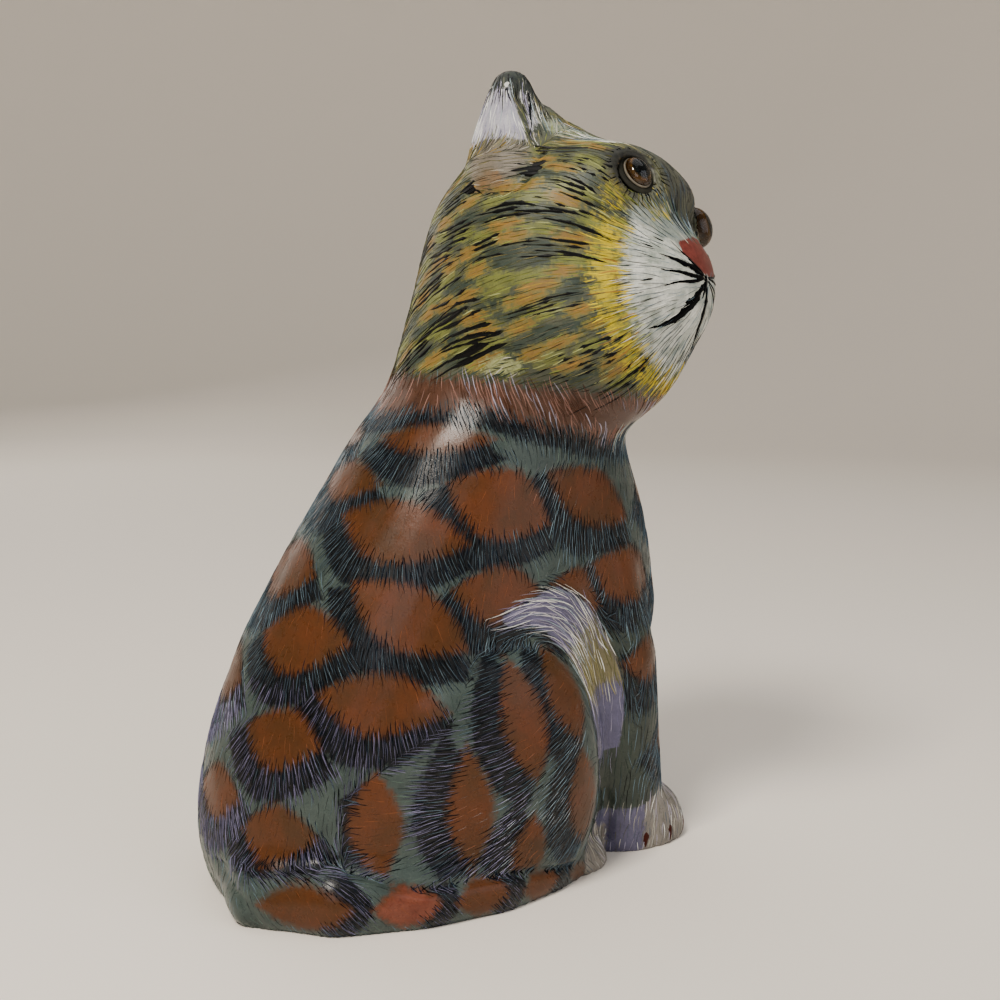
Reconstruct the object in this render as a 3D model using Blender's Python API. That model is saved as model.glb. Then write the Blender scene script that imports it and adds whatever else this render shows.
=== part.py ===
"""Carved wooden cat, sitting upright with its head turned to its right.

The cat is one block of wood: a broad rump, a narrower chest, two haunches, front legs,
hind paws and a tail that lies along its right side. Two glass eyes sit in sockets.
It faces -Y, its right side is at -X, and its flat underside is at z = 0.
Sizes and places are in millimetres, and MM turns them to metres.
"""

import math

import bmesh
import bpy
from mathutils import Euler, Matrix, Vector

MM = 0.001

# Moves the cat so that the origin lies under the middle of its outline.
STAND = (1.45, 4.9, 0.0)

# Rump, neck and chest as level oval sections: height, middle in y, half depth, half width.
RUMP_SECTIONS = (
    (-8, 3.0, 30.0, 23.0),
    (0, 3.0, 34.0, 27.0),
    (6, 2.5, 36.5, 28.5),
    (14, 1.5, 37.5, 29.0),
    (26, 0.5, 36.0, 28.0),
    (40, -2.5, 33.5, 26.5),
    (54, -6.0, 29.0, 24.5),
    (68, -10.0, 24.0, 22.0),
    (82, -15.0, 18.5, 18.5),
    (96, -18.0, 17.5, 17.5),
    (108, -20.5, 17.0, 16.5),
    (118, -22.5, 13.0, 13.0),
)
CHEST_SECTIONS = (
    (-8, -25.0, 17.0, 14.0),
    (8, -24.5, 16.5, 13.0),
    (24, -25.0, 17.5, 15.0),
    (42, -26.0, 20.5, 18.5),
    (60, -22.5, 20.5, 20.0),
    (76, -18.5, 18.5, 19.5),
    (90, -17.0, 18.0, 18.0),
)

# The head: where its middle is, which way the face looks, and how far it leans to its left.
HEAD_MIDDLE = Vector((-8.0, -23.0, 99.0))
HEAD_TURN = math.radians(58)
HEAD_NOD = math.radians(-2)
HEAD_LEAN = math.radians(17)

# Rounded masses of the head: forward, left and up of its middle, then half sizes the same way.
HEAD_MASSES = (
    ((0, 0, 6), (24, 22.5, 19)),
    ((0, 0, -4), (22.5, 21.5, 19)),
    ((5, 0, -8), (19.5, 19.5, 18)),
    ((14.5, 0, -1), (14.5, 15, 13.5)),
    ((12, 0, 12), (12.0, 19.5, 11)),
    ((-3, -2, 14.5), (14, 16, 16)),
)

# Each ear tapers through round balls from its root to its tip: place in the head and radius.
EAR_LINE = (
    (-2.5, 11.0, 13.0, 10.0),
    (-4.0, 12.8, 20.0, 7.2),
    (-5.0, 13.6, 25.5, 5.0),
    (-5.4, 13.7, 30.0, 3.6),
)

EYE_RADIUS = 3.0
EYE_PLACE = (18.6, 12.1, 13.3)
SOCKET_GAP = 0.3

# Haunches, legs and paws of the left side; the right side mirrors them.
HAUNCH_MIDDLE = (19.5, -4.0, 20.0)
HAUNCH_SIZE = (11.5, 21.5, 27.0)
FRONT_LEG = (
    (11.0, -27.0, 54.0, 8.5),
    (11.5, -31.0, 34.0, 9.3),
    (10.5, -34.5, 5.0, 8.5),
)
FRONT_PAW = ((10.0, -37.0, 2.0), (8.5, 11.5, 9.5))
HIND_PAW = ((17.5, -20.0, 0.5), (6.0, 8.0, 5.0))

# The tail runs from the rump round the right side: centre line and radius at each point.
TAIL_LINE = (
    (-2.0, 31.0, 5.0, 6.5),
    (-14.0, 30.0, 4.5, 6.5),
    (-22.5, 23.5, 4.0, 6.5),
    (-25.5, 11.0, 3.5, 6.3),
    (-25.5, -1.0, 3.0, 6.0),
    (-23.0, -12.0, 2.5, 5.0),
    (-19.5, -20.0, 2.0, 4.0),
)

# How finely each stage shapes the block, how often it is sanded, and the facets kept.
ROUGH_GRAIN = 1.4
ROUGH_SANDING = 60
FINE_GRAIN = 1.0
FINE_SANDING = 6
FACET_SHARE = 0.085
RING_SIDES = 48
BALL_STEP = 1.5
FLOOR_CUT = (200, 200, 40)


def place_of(point):
    """The matrix that moves to a point."""
    return Matrix.Translation(Vector(point) * MM)


LEVEL = place_of(STAND)


def oval_section(mesh, height, middle, half_depth, half_width):
    """Adds one level oval and gives its edges back."""
    stretch = Matrix.Diagonal((half_width * MM, half_depth * MM, 1, 1))
    place = LEVEL @ place_of((0, middle, height)) @ stretch
    ring = bmesh.ops.create_circle(mesh, radius=1, segments=RING_SIDES, matrix=place)
    return list({edge for vert in ring["verts"] for edge in vert.link_edges})


def add_loft(mesh, sections):
    """Adds a closed body through level ovals, from the lowest to the highest."""
    rings = [oval_section(mesh, *section) for section in sections]
    for lower, upper in zip(rings, rings[1:]):
        bmesh.ops.bridge_loops(mesh, edges=lower + upper)
    bmesh.ops.holes_fill(mesh, edges=rings[0] + rings[-1])


def add_ellipsoid(mesh, matrix, half_sizes):
    """Adds an ellipsoid, whose half sizes lie along the axes of the matrix."""
    stretch = Matrix.Diagonal([size * MM for size in half_sizes] + [1])
    bmesh.ops.create_icosphere(mesh, subdivisions=3, radius=1, matrix=matrix @ stretch)


def add_limb(mesh, line, frame):
    """Adds close balls along a line of places with radii, which merge into a round limb."""
    for start, end in zip(line, line[1:]):
        span = Vector(end[:3]) - Vector(start[:3])
        steps = math.ceil(span.length / BALL_STEP)
        for step in range(steps + 1):
            share = step / steps
            radius = start[3] + (end[3] - start[3]) * share
            centre = Vector(start[:3]) + span * share
            add_ellipsoid(mesh, frame @ place_of(centre), (radius, radius, radius))


def head_frame():
    """The head's own axes: x forward out of the face, y to the cat's left, z up."""
    turn = Euler((0, 0, -math.pi / 2 - HEAD_TURN)).to_matrix()
    nod = Matrix.Rotation(HEAD_NOD, 3, "Y")
    lean = Matrix.Rotation(-HEAD_LEAN, 3, "X")
    return LEVEL @ place_of(HEAD_MIDDLE) @ (turn @ nod @ lean).to_4x4()


def mirrored(line):
    """The same places on the cat's right side, with whatever follows them unchanged."""
    return [(-point[0], *point[1:]) for point in line]


def sanded(mesh, grain, passes):
    """Melts overlapping bodies into one block and sands it, and gives a new mesh back."""
    block = mesh_object("block", mesh)
    melt = block.modifiers.new("melt", "REMESH")
    melt.mode = "VOXEL"
    melt.voxel_size = grain * MM
    sand = block.modifiers.new("sand", "SMOOTH")
    sand.factor = 0.5
    sand.iterations = passes
    graph = bpy.context.evaluated_depsgraph_get()
    result = bmesh.new()
    result.from_object(block, graph)
    bpy.data.objects.remove(block)
    return result


def rough_block():
    """Rump, chest, neck and head as one well sanded block."""
    mesh = bmesh.new()
    add_loft(mesh, RUMP_SECTIONS)
    add_loft(mesh, CHEST_SECTIONS)
    for middle, half_sizes in HEAD_MASSES:
        add_ellipsoid(mesh, head_frame() @ place_of(middle), half_sizes)
    return sanded(mesh, ROUGH_GRAIN, ROUGH_SANDING)


def add_limbs(mesh):
    """Adds the ears, haunches, legs and paws on both sides, and the tail on the right."""
    ear_right = [(x, -y, z, radius) for x, y, z, radius in EAR_LINE]
    for ear in (EAR_LINE, ear_right):
        add_limb(mesh, ear, head_frame())
    for leg in (FRONT_LEG, mirrored(FRONT_LEG)):
        add_limb(mesh, leg, LEVEL)
    lumps = ((HAUNCH_MIDDLE, HAUNCH_SIZE), FRONT_PAW, HIND_PAW)
    for middle, half_sizes in lumps:
        for place in (middle, mirrored([middle])[0]):
            add_ellipsoid(mesh, LEVEL @ place_of(place), half_sizes)
    add_limb(mesh, TAIL_LINE, LEVEL)


def paint(name, colour, roughness):
    """A plain finish for one sub-part."""
    finish = bpy.data.materials.new(name)
    finish.use_nodes = True
    shader = finish.node_tree.nodes["Principled BSDF"]
    shader.inputs["Base Color"].default_value = (*colour, 1)
    shader.inputs["Roughness"].default_value = roughness
    shader.inputs["Metallic"].default_value = 0.0
    return finish


def mesh_object(name, mesh, finish=None):
    """Turns a bmesh into an object in the scene."""
    data = bpy.data.meshes.new(name)
    mesh.to_mesh(data)
    mesh.free()
    item = bpy.data.objects.new(name, data)
    bpy.context.scene.collection.objects.link(item)
    if finish:
        data.materials.append(finish)
        data.shade_smooth()
    return item


def cut_away(item, name, mesh):
    """Takes a helper body's volume out of the item."""
    tool = mesh_object(name, mesh)
    tool.hide_render = True
    tool.display_type = "WIRE"
    cut = item.modifiers.new(name, "BOOLEAN")
    cut.operation = "DIFFERENCE"
    cut.solver = "EXACT"
    cut.object = tool


def build_carving():
    """The cat itself, cut flat at its underside."""
    block = rough_block()
    add_limbs(block)
    mesh = sanded(block, FINE_GRAIN, FINE_SANDING)
    wood = paint("painted_wood", (0.12, 0.16, 0.13), 0.4)
    cat = mesh_object("carved_cat", mesh, wood)
    facets = cat.modifiers.new("facets", "DECIMATE")
    facets.ratio = FACET_SHARE
    floor = bmesh.new()
    width, depth, height = (size * MM for size in FLOOR_CUT)
    below = Matrix.Translation((0, 0, -height / 2))
    slab = below @ Matrix.Diagonal((width, depth, height, 1))
    bmesh.ops.create_cube(floor, size=1, matrix=slab)
    cut_away(cat, "underside_cut", floor)
    return cat


def ball(place, radius):
    """A round ball as a new mesh."""
    mesh = bmesh.new()
    bmesh.ops.create_uvsphere(
        mesh, u_segments=20, v_segments=14, radius=radius * MM, matrix=place
    )
    return mesh


def build_eyes(cat):
    """The glass eyes, and the socket that each one sits in."""
    glass = paint("amber_glass", (0.25, 0.1, 0.02), 0.05)
    forward, left, up = EYE_PLACE
    for name, side in (("eye_right", -1), ("eye_left", 1)):
        place = head_frame() @ place_of((forward, side * left, up))
        mesh_object(name, ball(place, EYE_RADIUS), glass)
        cut_away(cat, f"socket_{name}", ball(place, EYE_RADIUS + SOCKET_GAP))


def main():
    """Clears the scene and builds the cat and its eyes."""
    for item in list(bpy.data.objects):
        bpy.data.objects.remove(item)
    cat = build_carving()
    build_eyes(cat)


main()
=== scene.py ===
"""Painted wooden cat: the carved body, its brushed coat and two glass eyes.

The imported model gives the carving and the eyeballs. Here the carving is made again as a
fine, smooth skin with its hand-cut creases, and is painted as the maker paints it: broad
areas of colour first, then thousands of short brush strokes laid along the lie of the fur.
The cat faces -Y, its right side is at -X, and it stands on z = 0. Inside the classes
lengths are millimetres, and MM turns them to metres.
"""

import logging
import math
from dataclasses import dataclass, field
from enum import Enum
from functools import reduce

import bmesh
import bpy
import numpy as np
from mathutils import Matrix, Vector
from mathutils.bvhtree import BVHTree
from mathutils.kdtree import KDTree


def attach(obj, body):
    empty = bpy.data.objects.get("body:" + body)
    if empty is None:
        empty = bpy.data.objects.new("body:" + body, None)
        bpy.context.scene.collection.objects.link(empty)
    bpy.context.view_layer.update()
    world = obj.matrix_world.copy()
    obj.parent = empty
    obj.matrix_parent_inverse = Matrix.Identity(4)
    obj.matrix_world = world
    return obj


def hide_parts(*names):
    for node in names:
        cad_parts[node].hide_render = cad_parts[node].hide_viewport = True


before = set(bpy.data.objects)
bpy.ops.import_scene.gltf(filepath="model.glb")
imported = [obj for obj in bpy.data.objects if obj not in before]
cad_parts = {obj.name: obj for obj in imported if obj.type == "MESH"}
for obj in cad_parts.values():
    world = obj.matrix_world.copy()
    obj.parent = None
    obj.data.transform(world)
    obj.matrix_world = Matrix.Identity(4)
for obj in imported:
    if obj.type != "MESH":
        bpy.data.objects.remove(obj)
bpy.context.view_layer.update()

MM = 0.001
Array = np.ndarray
Colour = tuple[float, float, float, float]
Point = tuple[float, float, float]
log = logging.getLogger("painted_cat")

# The map of the strokes and the irises, the start of the name of each area's attribute, and
# the depth that stands for far outside an area.
MAP = "OFBake"
AREA = "area_"
FAR = -9.0

# Settings and the result socket of a Mix node for colours.
COLOURS = {"data_type": "RGBA"}
SHADES = {"data_type": "RGBA", "blend_type": "MULTIPLY"}
MIXED = 2


def linear(code: str) -> Colour:
    """The sRGB hex colour as linear red, green, blue and alpha."""
    parts = [int(code[i : i + 2], 16) / 255 for i in (1, 3, 5)]
    red, green, blue = [c / 12.92 if c <= 0.04045 else ((c + 0.055) / 1.055) ** 2.4 for c in parts]
    return red, green, blue, 1.0


def ramp(value: Array, low: float, high: float) -> Array:
    """A smooth step from 0 at low to 1 at high."""
    share = np.clip((np.asarray(value, float) - low) / (high - low), 0, 1)
    return share * share * (3 - 2 * share)


def hump(value: Array, wide: float) -> Array:
    """A bell that is 1 where the value is 0 and falls away over the width."""
    return np.exp(-((value / wide) ** 2))


def unit(vectors: Array) -> Array:
    """Each row at length 1."""
    return vectors / np.maximum(np.linalg.norm(vectors, axis=-1, keepdims=True), 1e-9)


def least(*depths: Array | float) -> Array:
    """The least of several depths, which is how far inside all of those areas a place is."""
    return reduce(np.minimum, depths)


def most(*depths: Array | float) -> Array:
    """The most of several depths, which is how far inside any of those areas a place is."""
    return reduce(np.maximum, depths)


def add_node(tree: bpy.types.NodeTree, kind: str, settings: dict, inputs: dict) -> bpy.types.Node:
    """Adds a node to a tree.

    Args:
        tree: The material's node tree.
        kind: The node's type name after ShaderNode.
        settings: Property names and their values.
        inputs: Socket names or numbers, each with a value, a socket to link from, or a node
            whose first result is linked.

    Returns:
        The new node.
    """
    node = tree.nodes.new("ShaderNode" + kind)
    for name, value in settings.items():
        setattr(node, name, value)
    for socket, value in inputs.items():
        source = value.outputs[0] if isinstance(value, bpy.types.Node) else value
        if isinstance(source, bpy.types.NodeSocket):
            tree.links.new(source, node.inputs[socket])
        else:
            node.inputs[socket].default_value = source
    return node


def new_material(name: str) -> tuple[bpy.types.Material, bpy.types.NodeTree]:
    """An empty node material and its tree."""
    made = bpy.data.materials.new(name)
    made.use_nodes = True
    made.node_tree.nodes.clear()
    return made, made.node_tree


def finish_surface(tree: bpy.types.NodeTree, inputs: dict) -> None:
    """Ends a material with a Principled shader and its output.

    Args:
        tree: The material's node tree.
        inputs: Values and links for the shader's sockets.
    """
    shader = add_node(tree, "BsdfPrincipled", {}, inputs)
    add_node(tree, "OutputMaterial", {}, {"Surface": shader})


def place_piece(name: str, bm: bmesh.types.BMesh, scale: float = MM) -> bpy.types.Object:
    """Makes a finished bmesh into a smooth-shaded object at the origin.

    Args:
        name: The piece's name.
        bm: Its shape, which is freed.
        scale: What turns the bmesh's lengths to metres.

    Returns:
        The object, linked to the scene.
    """
    bmesh.ops.scale(bm, vec=(scale, scale, scale), verts=bm.verts)
    mesh = bpy.data.meshes.new(name)
    bm.to_mesh(mesh)
    bm.free()
    mesh.shade_smooth()
    piece = bpy.data.objects.new(name, mesh)
    bpy.context.scene.collection.objects.link(piece)
    return piece


def turn_profile(bm: bmesh.types.BMesh, steps: int) -> None:
    """Turns a profile into a closed shape round the z axis.

    Args:
        bm: The profile, changed in place.
        steps: How many faces go round.
    """
    profile = bm.verts[:] + bm.edges[:]
    centre, up = (0, 0, 0), (0, 0, 1)
    bmesh.ops.spin(
        bm, geom=profile, cent=centre, axis=up, angle=2 * math.pi, steps=steps, use_merge=True
    )
    bmesh.ops.remove_doubles(bm, verts=bm.verts, dist=1e-5)
    bmesh.ops.recalc_face_normals(bm, faces=bm.faces)


def tree_of(points: Array) -> KDTree:
    """A search tree over these points."""
    tree = KDTree(len(points))
    for number, point in enumerate(points):
        tree.insert(point, number)
    tree.balance()
    return tree


def set_areas(mesh: bpy.types.Mesh, areas: dict[str, Array]) -> None:
    """Writes each area to the mesh as an attribute that the paint reads."""
    for name, inside in areas.items():
        layer = mesh.attributes.new(AREA + name, "FLOAT", "POINT")
        layer.data.foreach_set("value", np.clip(inside, FAR, -FAR).astype(np.float32))


class Slot(Enum):
    """The record's material slots."""

    WOOD = "painted_wood"
    GLASS = "eye_glass"


def settle(piece: bpy.types.Object, material: bpy.types.Material) -> bpy.types.Object:
    """Dresses a piece, lets it ride on the body and reports it.

    Args:
        piece: The finished piece.
        material: Its finish.

    Returns:
        The same piece.
    """
    piece.data.materials.clear()
    piece.data.materials.append(material)
    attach(piece, "root")
    count = sum(len(face.vertices) - 2 for face in piece.data.polygons)
    log.info("%s: %d triangles", piece.name, count)
    return piece


# ---------------------------------------------------------------- places on the cat


@dataclass(frozen=True)
class HeadAxes:
    """The turned and leaning head: x out of the face, y to the cat's left, z up."""

    middle: Point = (-6.55, -18.1, 99.0)
    turn: float = 58.0
    nod: float = -2.0
    lean: float = 17.0

    def turned(self) -> Array:
        """The head's axes as the columns of a 3 x 3 matrix."""
        spin = Matrix.Rotation(math.radians(-90 - self.turn), 3, "Z")
        nod = Matrix.Rotation(math.radians(self.nod), 3, "Y")
        lean = Matrix.Rotation(math.radians(-self.lean), 3, "X")
        return np.array(spin @ nod @ lean)

    def into(self, at: Array) -> Array:
        """Points of the cat in the head's axes."""
        return (at - np.array(self.middle)) @ self.turned()

    def out_of(self, at: Array) -> Array:
        """Points in the head's axes as points of the cat."""
        return at @ self.turned().T + np.array(self.middle)


HEAD = HeadAxes()

# Places in head axes, on the cat's left.
NOSE = np.array([28.0, 0.0, -1.0])
EYE = np.array([18.6, 12.1, 13.3])
EYE_LOOK = unit(EYE - np.array([2.0, 0.0, 4.0]))
EAR_ROOT = np.array([-2.5, 11.0, 13.0])
EAR_TIP = np.array([-5.4, 13.7, 33.6])

# The middle of the body in x, and in y at each height.
MIDDLE_X = 1.45
SPINE_HEIGHTS = (0, 14, 26, 40, 54, 68, 82, 96, 108, 118)
SPINE_PLACES = (7.9, 6.4, 5.4, 2.4, -1.1, -5.1, -10.1, -13.1, -15.6, -17.6)


@dataclass(frozen=True)
class Where:
    """Where points of the skin lie, in a painter's terms.

    at and out are the points and their outward directions. side is -1 on the cat's right
    and 1 on its left, across the distance from the middle, around the angle about the body,
    0 at the chest and -90 at the cat's right, and reach the distance from the spine. face
    holds head axes with y counted away from the middle of the face, from_nose the angle
    back from the nose, and up_face the angle up from level as seen from the front.
    """

    at: Array
    out: Array
    side: Array
    across: Array
    around: Array
    reach: Array
    face: Array
    face_out: Array
    face_side: Array
    from_nose: Array
    up_face: Array

    @staticmethod
    def of(at: Array, out: Array) -> "Where":
        """Works out the painter's terms.

        Args:
            at: Points on the skin, in millimetres.
            out: The outward direction at each point.

        Returns:
            The places.
        """
        x = at[:, 0] - MIDDLE_X
        y = at[:, 1] - np.interp(at[:, 2], SPINE_HEIGHTS, SPINE_PLACES)
        face = HEAD.into(at)
        face_side = np.where(face[:, 1] < 0, -1.0, 1.0)
        flip = np.stack([np.ones_like(x), face_side, np.ones_like(x)], 1)
        face = face * flip
        distance = np.maximum(np.linalg.norm(face, axis=1), 1e-6)
        return Where(
            at=at,
            out=out,
            side=np.where(x < 0, -1.0, 1.0),
            across=np.abs(x),
            around=np.degrees(np.arctan2(x, -y)),
            reach=np.hypot(x, y),
            face=face,
            face_out=(out @ HEAD.turned()) * flip,
            face_side=face_side,
            from_nose=np.degrees(np.arccos(np.clip(face[:, 0] / distance, -1, 1))),
            up_face=np.degrees(np.arctan2(face[:, 2], face[:, 1])),
        )

    @property
    def y(self) -> Array:
        """Places from front to back."""
        return self.at[:, 1]

    @property
    def z(self) -> Array:
        """Heights."""
        return self.at[:, 2]

    @property
    def turn(self) -> Array:
        """The angle from the chest, to either side."""
        return np.abs(self.around)

    def far_from(self, place: Array | Point, tall: float = 1.0) -> Array:
        """Distances from a place in head axes, with heights shrunk by tall."""
        return np.linalg.norm((self.face - np.array(place)) / (1, 1, tall), axis=1)


def along_line(points: Array, line: tuple) -> tuple[Array, Array, Array]:
    """Measures points against a bent line in a plane.

    Args:
        points: Places in the plane, one a row.
        line: The line's corners.

    Returns:
        The distance to the line, the share of the line passed, and the line's way there.
    """
    corners = np.array(line, float)
    bends = unit(np.gradient(corners, axis=0))
    legs = np.diff(corners, axis=0)
    sizes = np.linalg.norm(legs, axis=1)
    starts = np.concatenate([[0], np.cumsum(sizes)])
    best = np.full(len(points), 1e9)
    share = np.zeros(len(points))
    way = np.zeros_like(points, dtype=float)
    for number, (start, leg, size, passed) in enumerate(zip(corners[:-1], legs, sizes, starts)):
        t = np.clip(((points - start) @ leg) / size**2, 0, 1)
        gap = np.linalg.norm(points - start - t[:, None] * leg, axis=1)
        closer = gap < best
        best = np.where(closer, gap, best)
        share = np.where(closer, (passed + t * size) / starts[-1], share)
        turned = bends[number] + (bends[number + 1] - bends[number]) * t[:, None]
        way[closer] = turned[closer]
    return best, share, way


class Region:
    """Signed areas of the cat: millimetres inside the edge, and less than 0 outside."""

    HEAD_HEIGHT = 79.0
    # Angles from the chest, and the heights there of the neck and of the collar's foot.
    NECK = ((0, 50, 88, 120, 180), (79.6, 80.4, 82.2, 83.6, 84.4))
    COLLAR_FOOT = ((0, 55, 88, 120, 150, 180), (72.5, 73.2, 76.2, 79.2, 78.6, 77.2))
    # Heights, and how far back the haunch reaches there.
    HAUNCH_BACK = ((0, 20, 26, 32, 40, 43), (28, 27.5, 20, 11.5, 7, 5))
    # Places from front to back, and the height of the tail there.
    TAIL_TOP = ((-16, -6, 2, 8, 18, 22, 30, 40), (2.5, 4.5, 6.0, 6.5, 6.5, 7.8, 10.5, 9.0))
    # The crest of fur over each haunch, as places in y and z from its root to its foot.
    CREST = (
        (0.0, 46.0), (-4, 46.8), (-9, 46.4), (-14, 43), (-18, 37.5), (-20, 32), (-21, 26), (-21, 19)
    )  # fmt: skip
    CREST_HALF_WIDTH = 4.4

    @classmethod
    def head(cls, w: Where) -> Array:
        """Above the neck, which is lowest at the throat."""
        return w.z - np.interp(w.turn, *cls.NECK)

    @staticmethod
    def ear(w: Where) -> Array:
        """The ears, from where they stand clear of the skull."""
        axis = EAR_TIP - EAR_ROOT
        t = ((w.face - EAR_ROOT) @ axis) / (axis @ axis)
        gap = np.linalg.norm(w.face - EAR_ROOT - t[:, None] * axis, axis=1)
        return least(w.face[:, 2] - 16.0, 9.5 - gap)

    @classmethod
    def haunch(cls, w: Where) -> Array:
        """The oval of each haunch."""
        deep = np.where(w.y < 3, 21.0, 25.0)
        oval = (np.abs((w.y - 3) / deep) ** 2.5 + np.abs((w.z - 16) / 26) ** 2.5) ** 0.4
        back = np.interp(w.z, *cls.HAUNCH_BACK) - w.y
        return least((1 - oval) * 20, back, w.across - 14)

    @classmethod
    def tail(cls, w: Where) -> Array:
        """The tail along the foot of the right side."""
        edge = least(np.interp(w.y, *cls.TAIL_TOP) - w.z, w.y + 22)
        return np.where(w.side < 0, edge, least(edge, -3 - w.across))

    @classmethod
    def crest(cls, w: Where) -> tuple[Array, Array, Array]:
        """The light crest over each haunch: its area, share along it and way in y and z."""
        gap, share, way = along_line(w.at[:, 1:], cls.CREST)
        root, foot = 0.25 + 0.75 * ramp(share, 0.0, 0.3), 1 - 0.2 * ramp(share, 0.75, 1.0)
        half = cls.CREST_HALF_WIDTH * root * foot
        return least(half - gap, w.across - 12), share, way

    @classmethod
    def collar_low(cls, w: Where) -> Array:
        """The height of the collar's lower edge."""
        return np.interp(w.turn, *cls.COLLAR_FOOT)

    @staticmethod
    def front_paw(w: Where) -> Array:
        """The white toes of the front legs."""
        edge = 8.5 + 3.0 * ramp(-w.y, 28, 38)
        return least(edge - w.z, -20.5 - w.y)

    @staticmethod
    def hind_paw(w: Where) -> Array:
        """The white tips of the hind paws."""
        return least(5.5 - w.z, -15.5 - w.y, w.across - 12, w.y + 24)


# ---------------------------------------------------------------- the painted coat's plan


def leaf(along: Array, across: Array, long: float, wide: float) -> Array:
    """How far inside a leaf with drawn-out ends each place is, in millimetres.

    Args:
        along: Places along the leaf from its middle.
        across: Places across it.
        long: Its half length.
        wide: Its half width.

    Returns:
        Millimetres inside the edge.
    """
    round_end = np.where(along > 0, 1.7, 2.0)
    room = 1 - np.abs(along / long) ** round_end
    return (room * wide - np.abs(across)) * 0.85


@dataclass(frozen=True)
class Spot:
    """One rust spot: its place, height, half length and half width, and its fore end's dip.

    place is an angle round the body for a body spot, and millimetres back for the others.
    """

    place: float
    height: float
    long: float
    wide: float
    dip: float = 0.0

    def turned(self, level: Array, rise: Array) -> tuple[Array, Array]:
        """Places along and across the dipping spot, from level and upright distances."""
        cosine, sine = math.cos(math.radians(self.dip)), math.sin(math.radians(self.dip))
        return level * cosine - rise * sine, level * sine + rise * cosine

    def on_body(self, w: Where) -> tuple[Array, Array]:
        """Places measured along the spot, towards the chest, and across it, upwards."""
        turn = (w.around - self.place + 180) % 360 - 180
        level = (1.0 if self.place < 0 else -1.0) * np.radians(turn) * w.reach
        return self.turned(level, w.z - self.height)

    def inside(self, along: Array, across: Array) -> Array:
        """How far inside the spot places measured along and across it lie."""
        return leaf(along, across, self.long, self.wide)

    def hung(self, along: Array, across: Array) -> Array:
        """The same for the dark band of fur that hangs below the spot."""
        return leaf(along, across + 3.0, self.long + 3.2, self.wide + 2.0)


# Rust spots round the body, in staggered rows: angle, height, half length, half width, dip.
BODY_SPOTS = tuple(
    Spot(*row)
    for row in (
        (-138, 74.3, 10.5, 2.4), (-172, 67, 8.5, 3.2), (-99, 64, 10.5, 5.5, 20),
        (-54, 64, 11, 4.4, 26), (-137, 60, 12, 4.8, 10), (-10, 63, 9, 4.4), (-34, 50, 8, 4.8, 20),
        (-56, 48, 7.5, 4.6, 20), (-93, 50, 8.5, 4.6, 8), (-125, 47, 12, 4.7, 26),
        (-158, 43, 9, 5.2), (179, 52.5, 9.5, 4.8), (-8, 47, 7, 4.8), (-29, 35, 4.5, 4.2),
        (-127, 34.2, 11, 4.8, 8), (-154, 28.3, 7.4, 4.8, 8), (171, 35, 8.5, 5.0),
        (-150.5, 13.8, 6.6, 4.8), (-173, 18, 6.5, 4.6), (146, 65, 10, 4.4, 8),
        (104, 62, 10.5, 5.2, 16), (60, 64, 11, 4.4, 22), (24, 61, 8, 4.4, 10),
        (147, 46, 9.5, 4.8, 8), (116, 48, 11, 4.8, 18), (82, 50, 8.5, 4.6, 8), (46, 49, 8, 4.8, 18),
        (20, 46, 5, 4.6), (143, 31.5, 8.0, 4.6, 4), (160, 20.5, 7.0, 4.4), (155, 8, 5.0, 3.4),
        (0, 32, 4.6, 3.8), (28, 34, 4.5, 4.2), (120, 74.5, 10, 2.6), (165, 73.5, 6, 2.2),
        (18, 21, 3.4, 4.6), (-20, 20, 3.4, 4.6),
    )
)  # fmt: skip

# Upright rust leaves on each haunch: place in y, height, half height, half width, lean.
HAUNCH_LEAVES = tuple(
    Spot(*row)
    for row in (
        (23, 16, 8.4, 4.0, 2), (9.0, 17.5, 10.4, 3.7, -2), (-0.3, 30.5, 10.4, 4.1, -10),
        (-8.6, 33.5, 8.4, 3.7, -20), (-12.0, 16, 8.8, 3.5, -4), (-1.2, 9.5, 6.4, 3.2, 4),
    )
)  # fmt: skip

# Level rust patches along the tail, the second one redder: place in y, height, half sizes.
TAIL_PATCHES = tuple(
    Spot(*row)
    for row in (
        (34.4, 4.5, 6.2, 3.5), (20, 4.2, 5.6, 3.2), (7.5, 3.6, 5.0, 3.2), (-4, 2.8, 4.2, 2.9),
        (-14.5, 1.8, 3.6, 2.4),
    )
)  # fmt: skip


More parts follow.
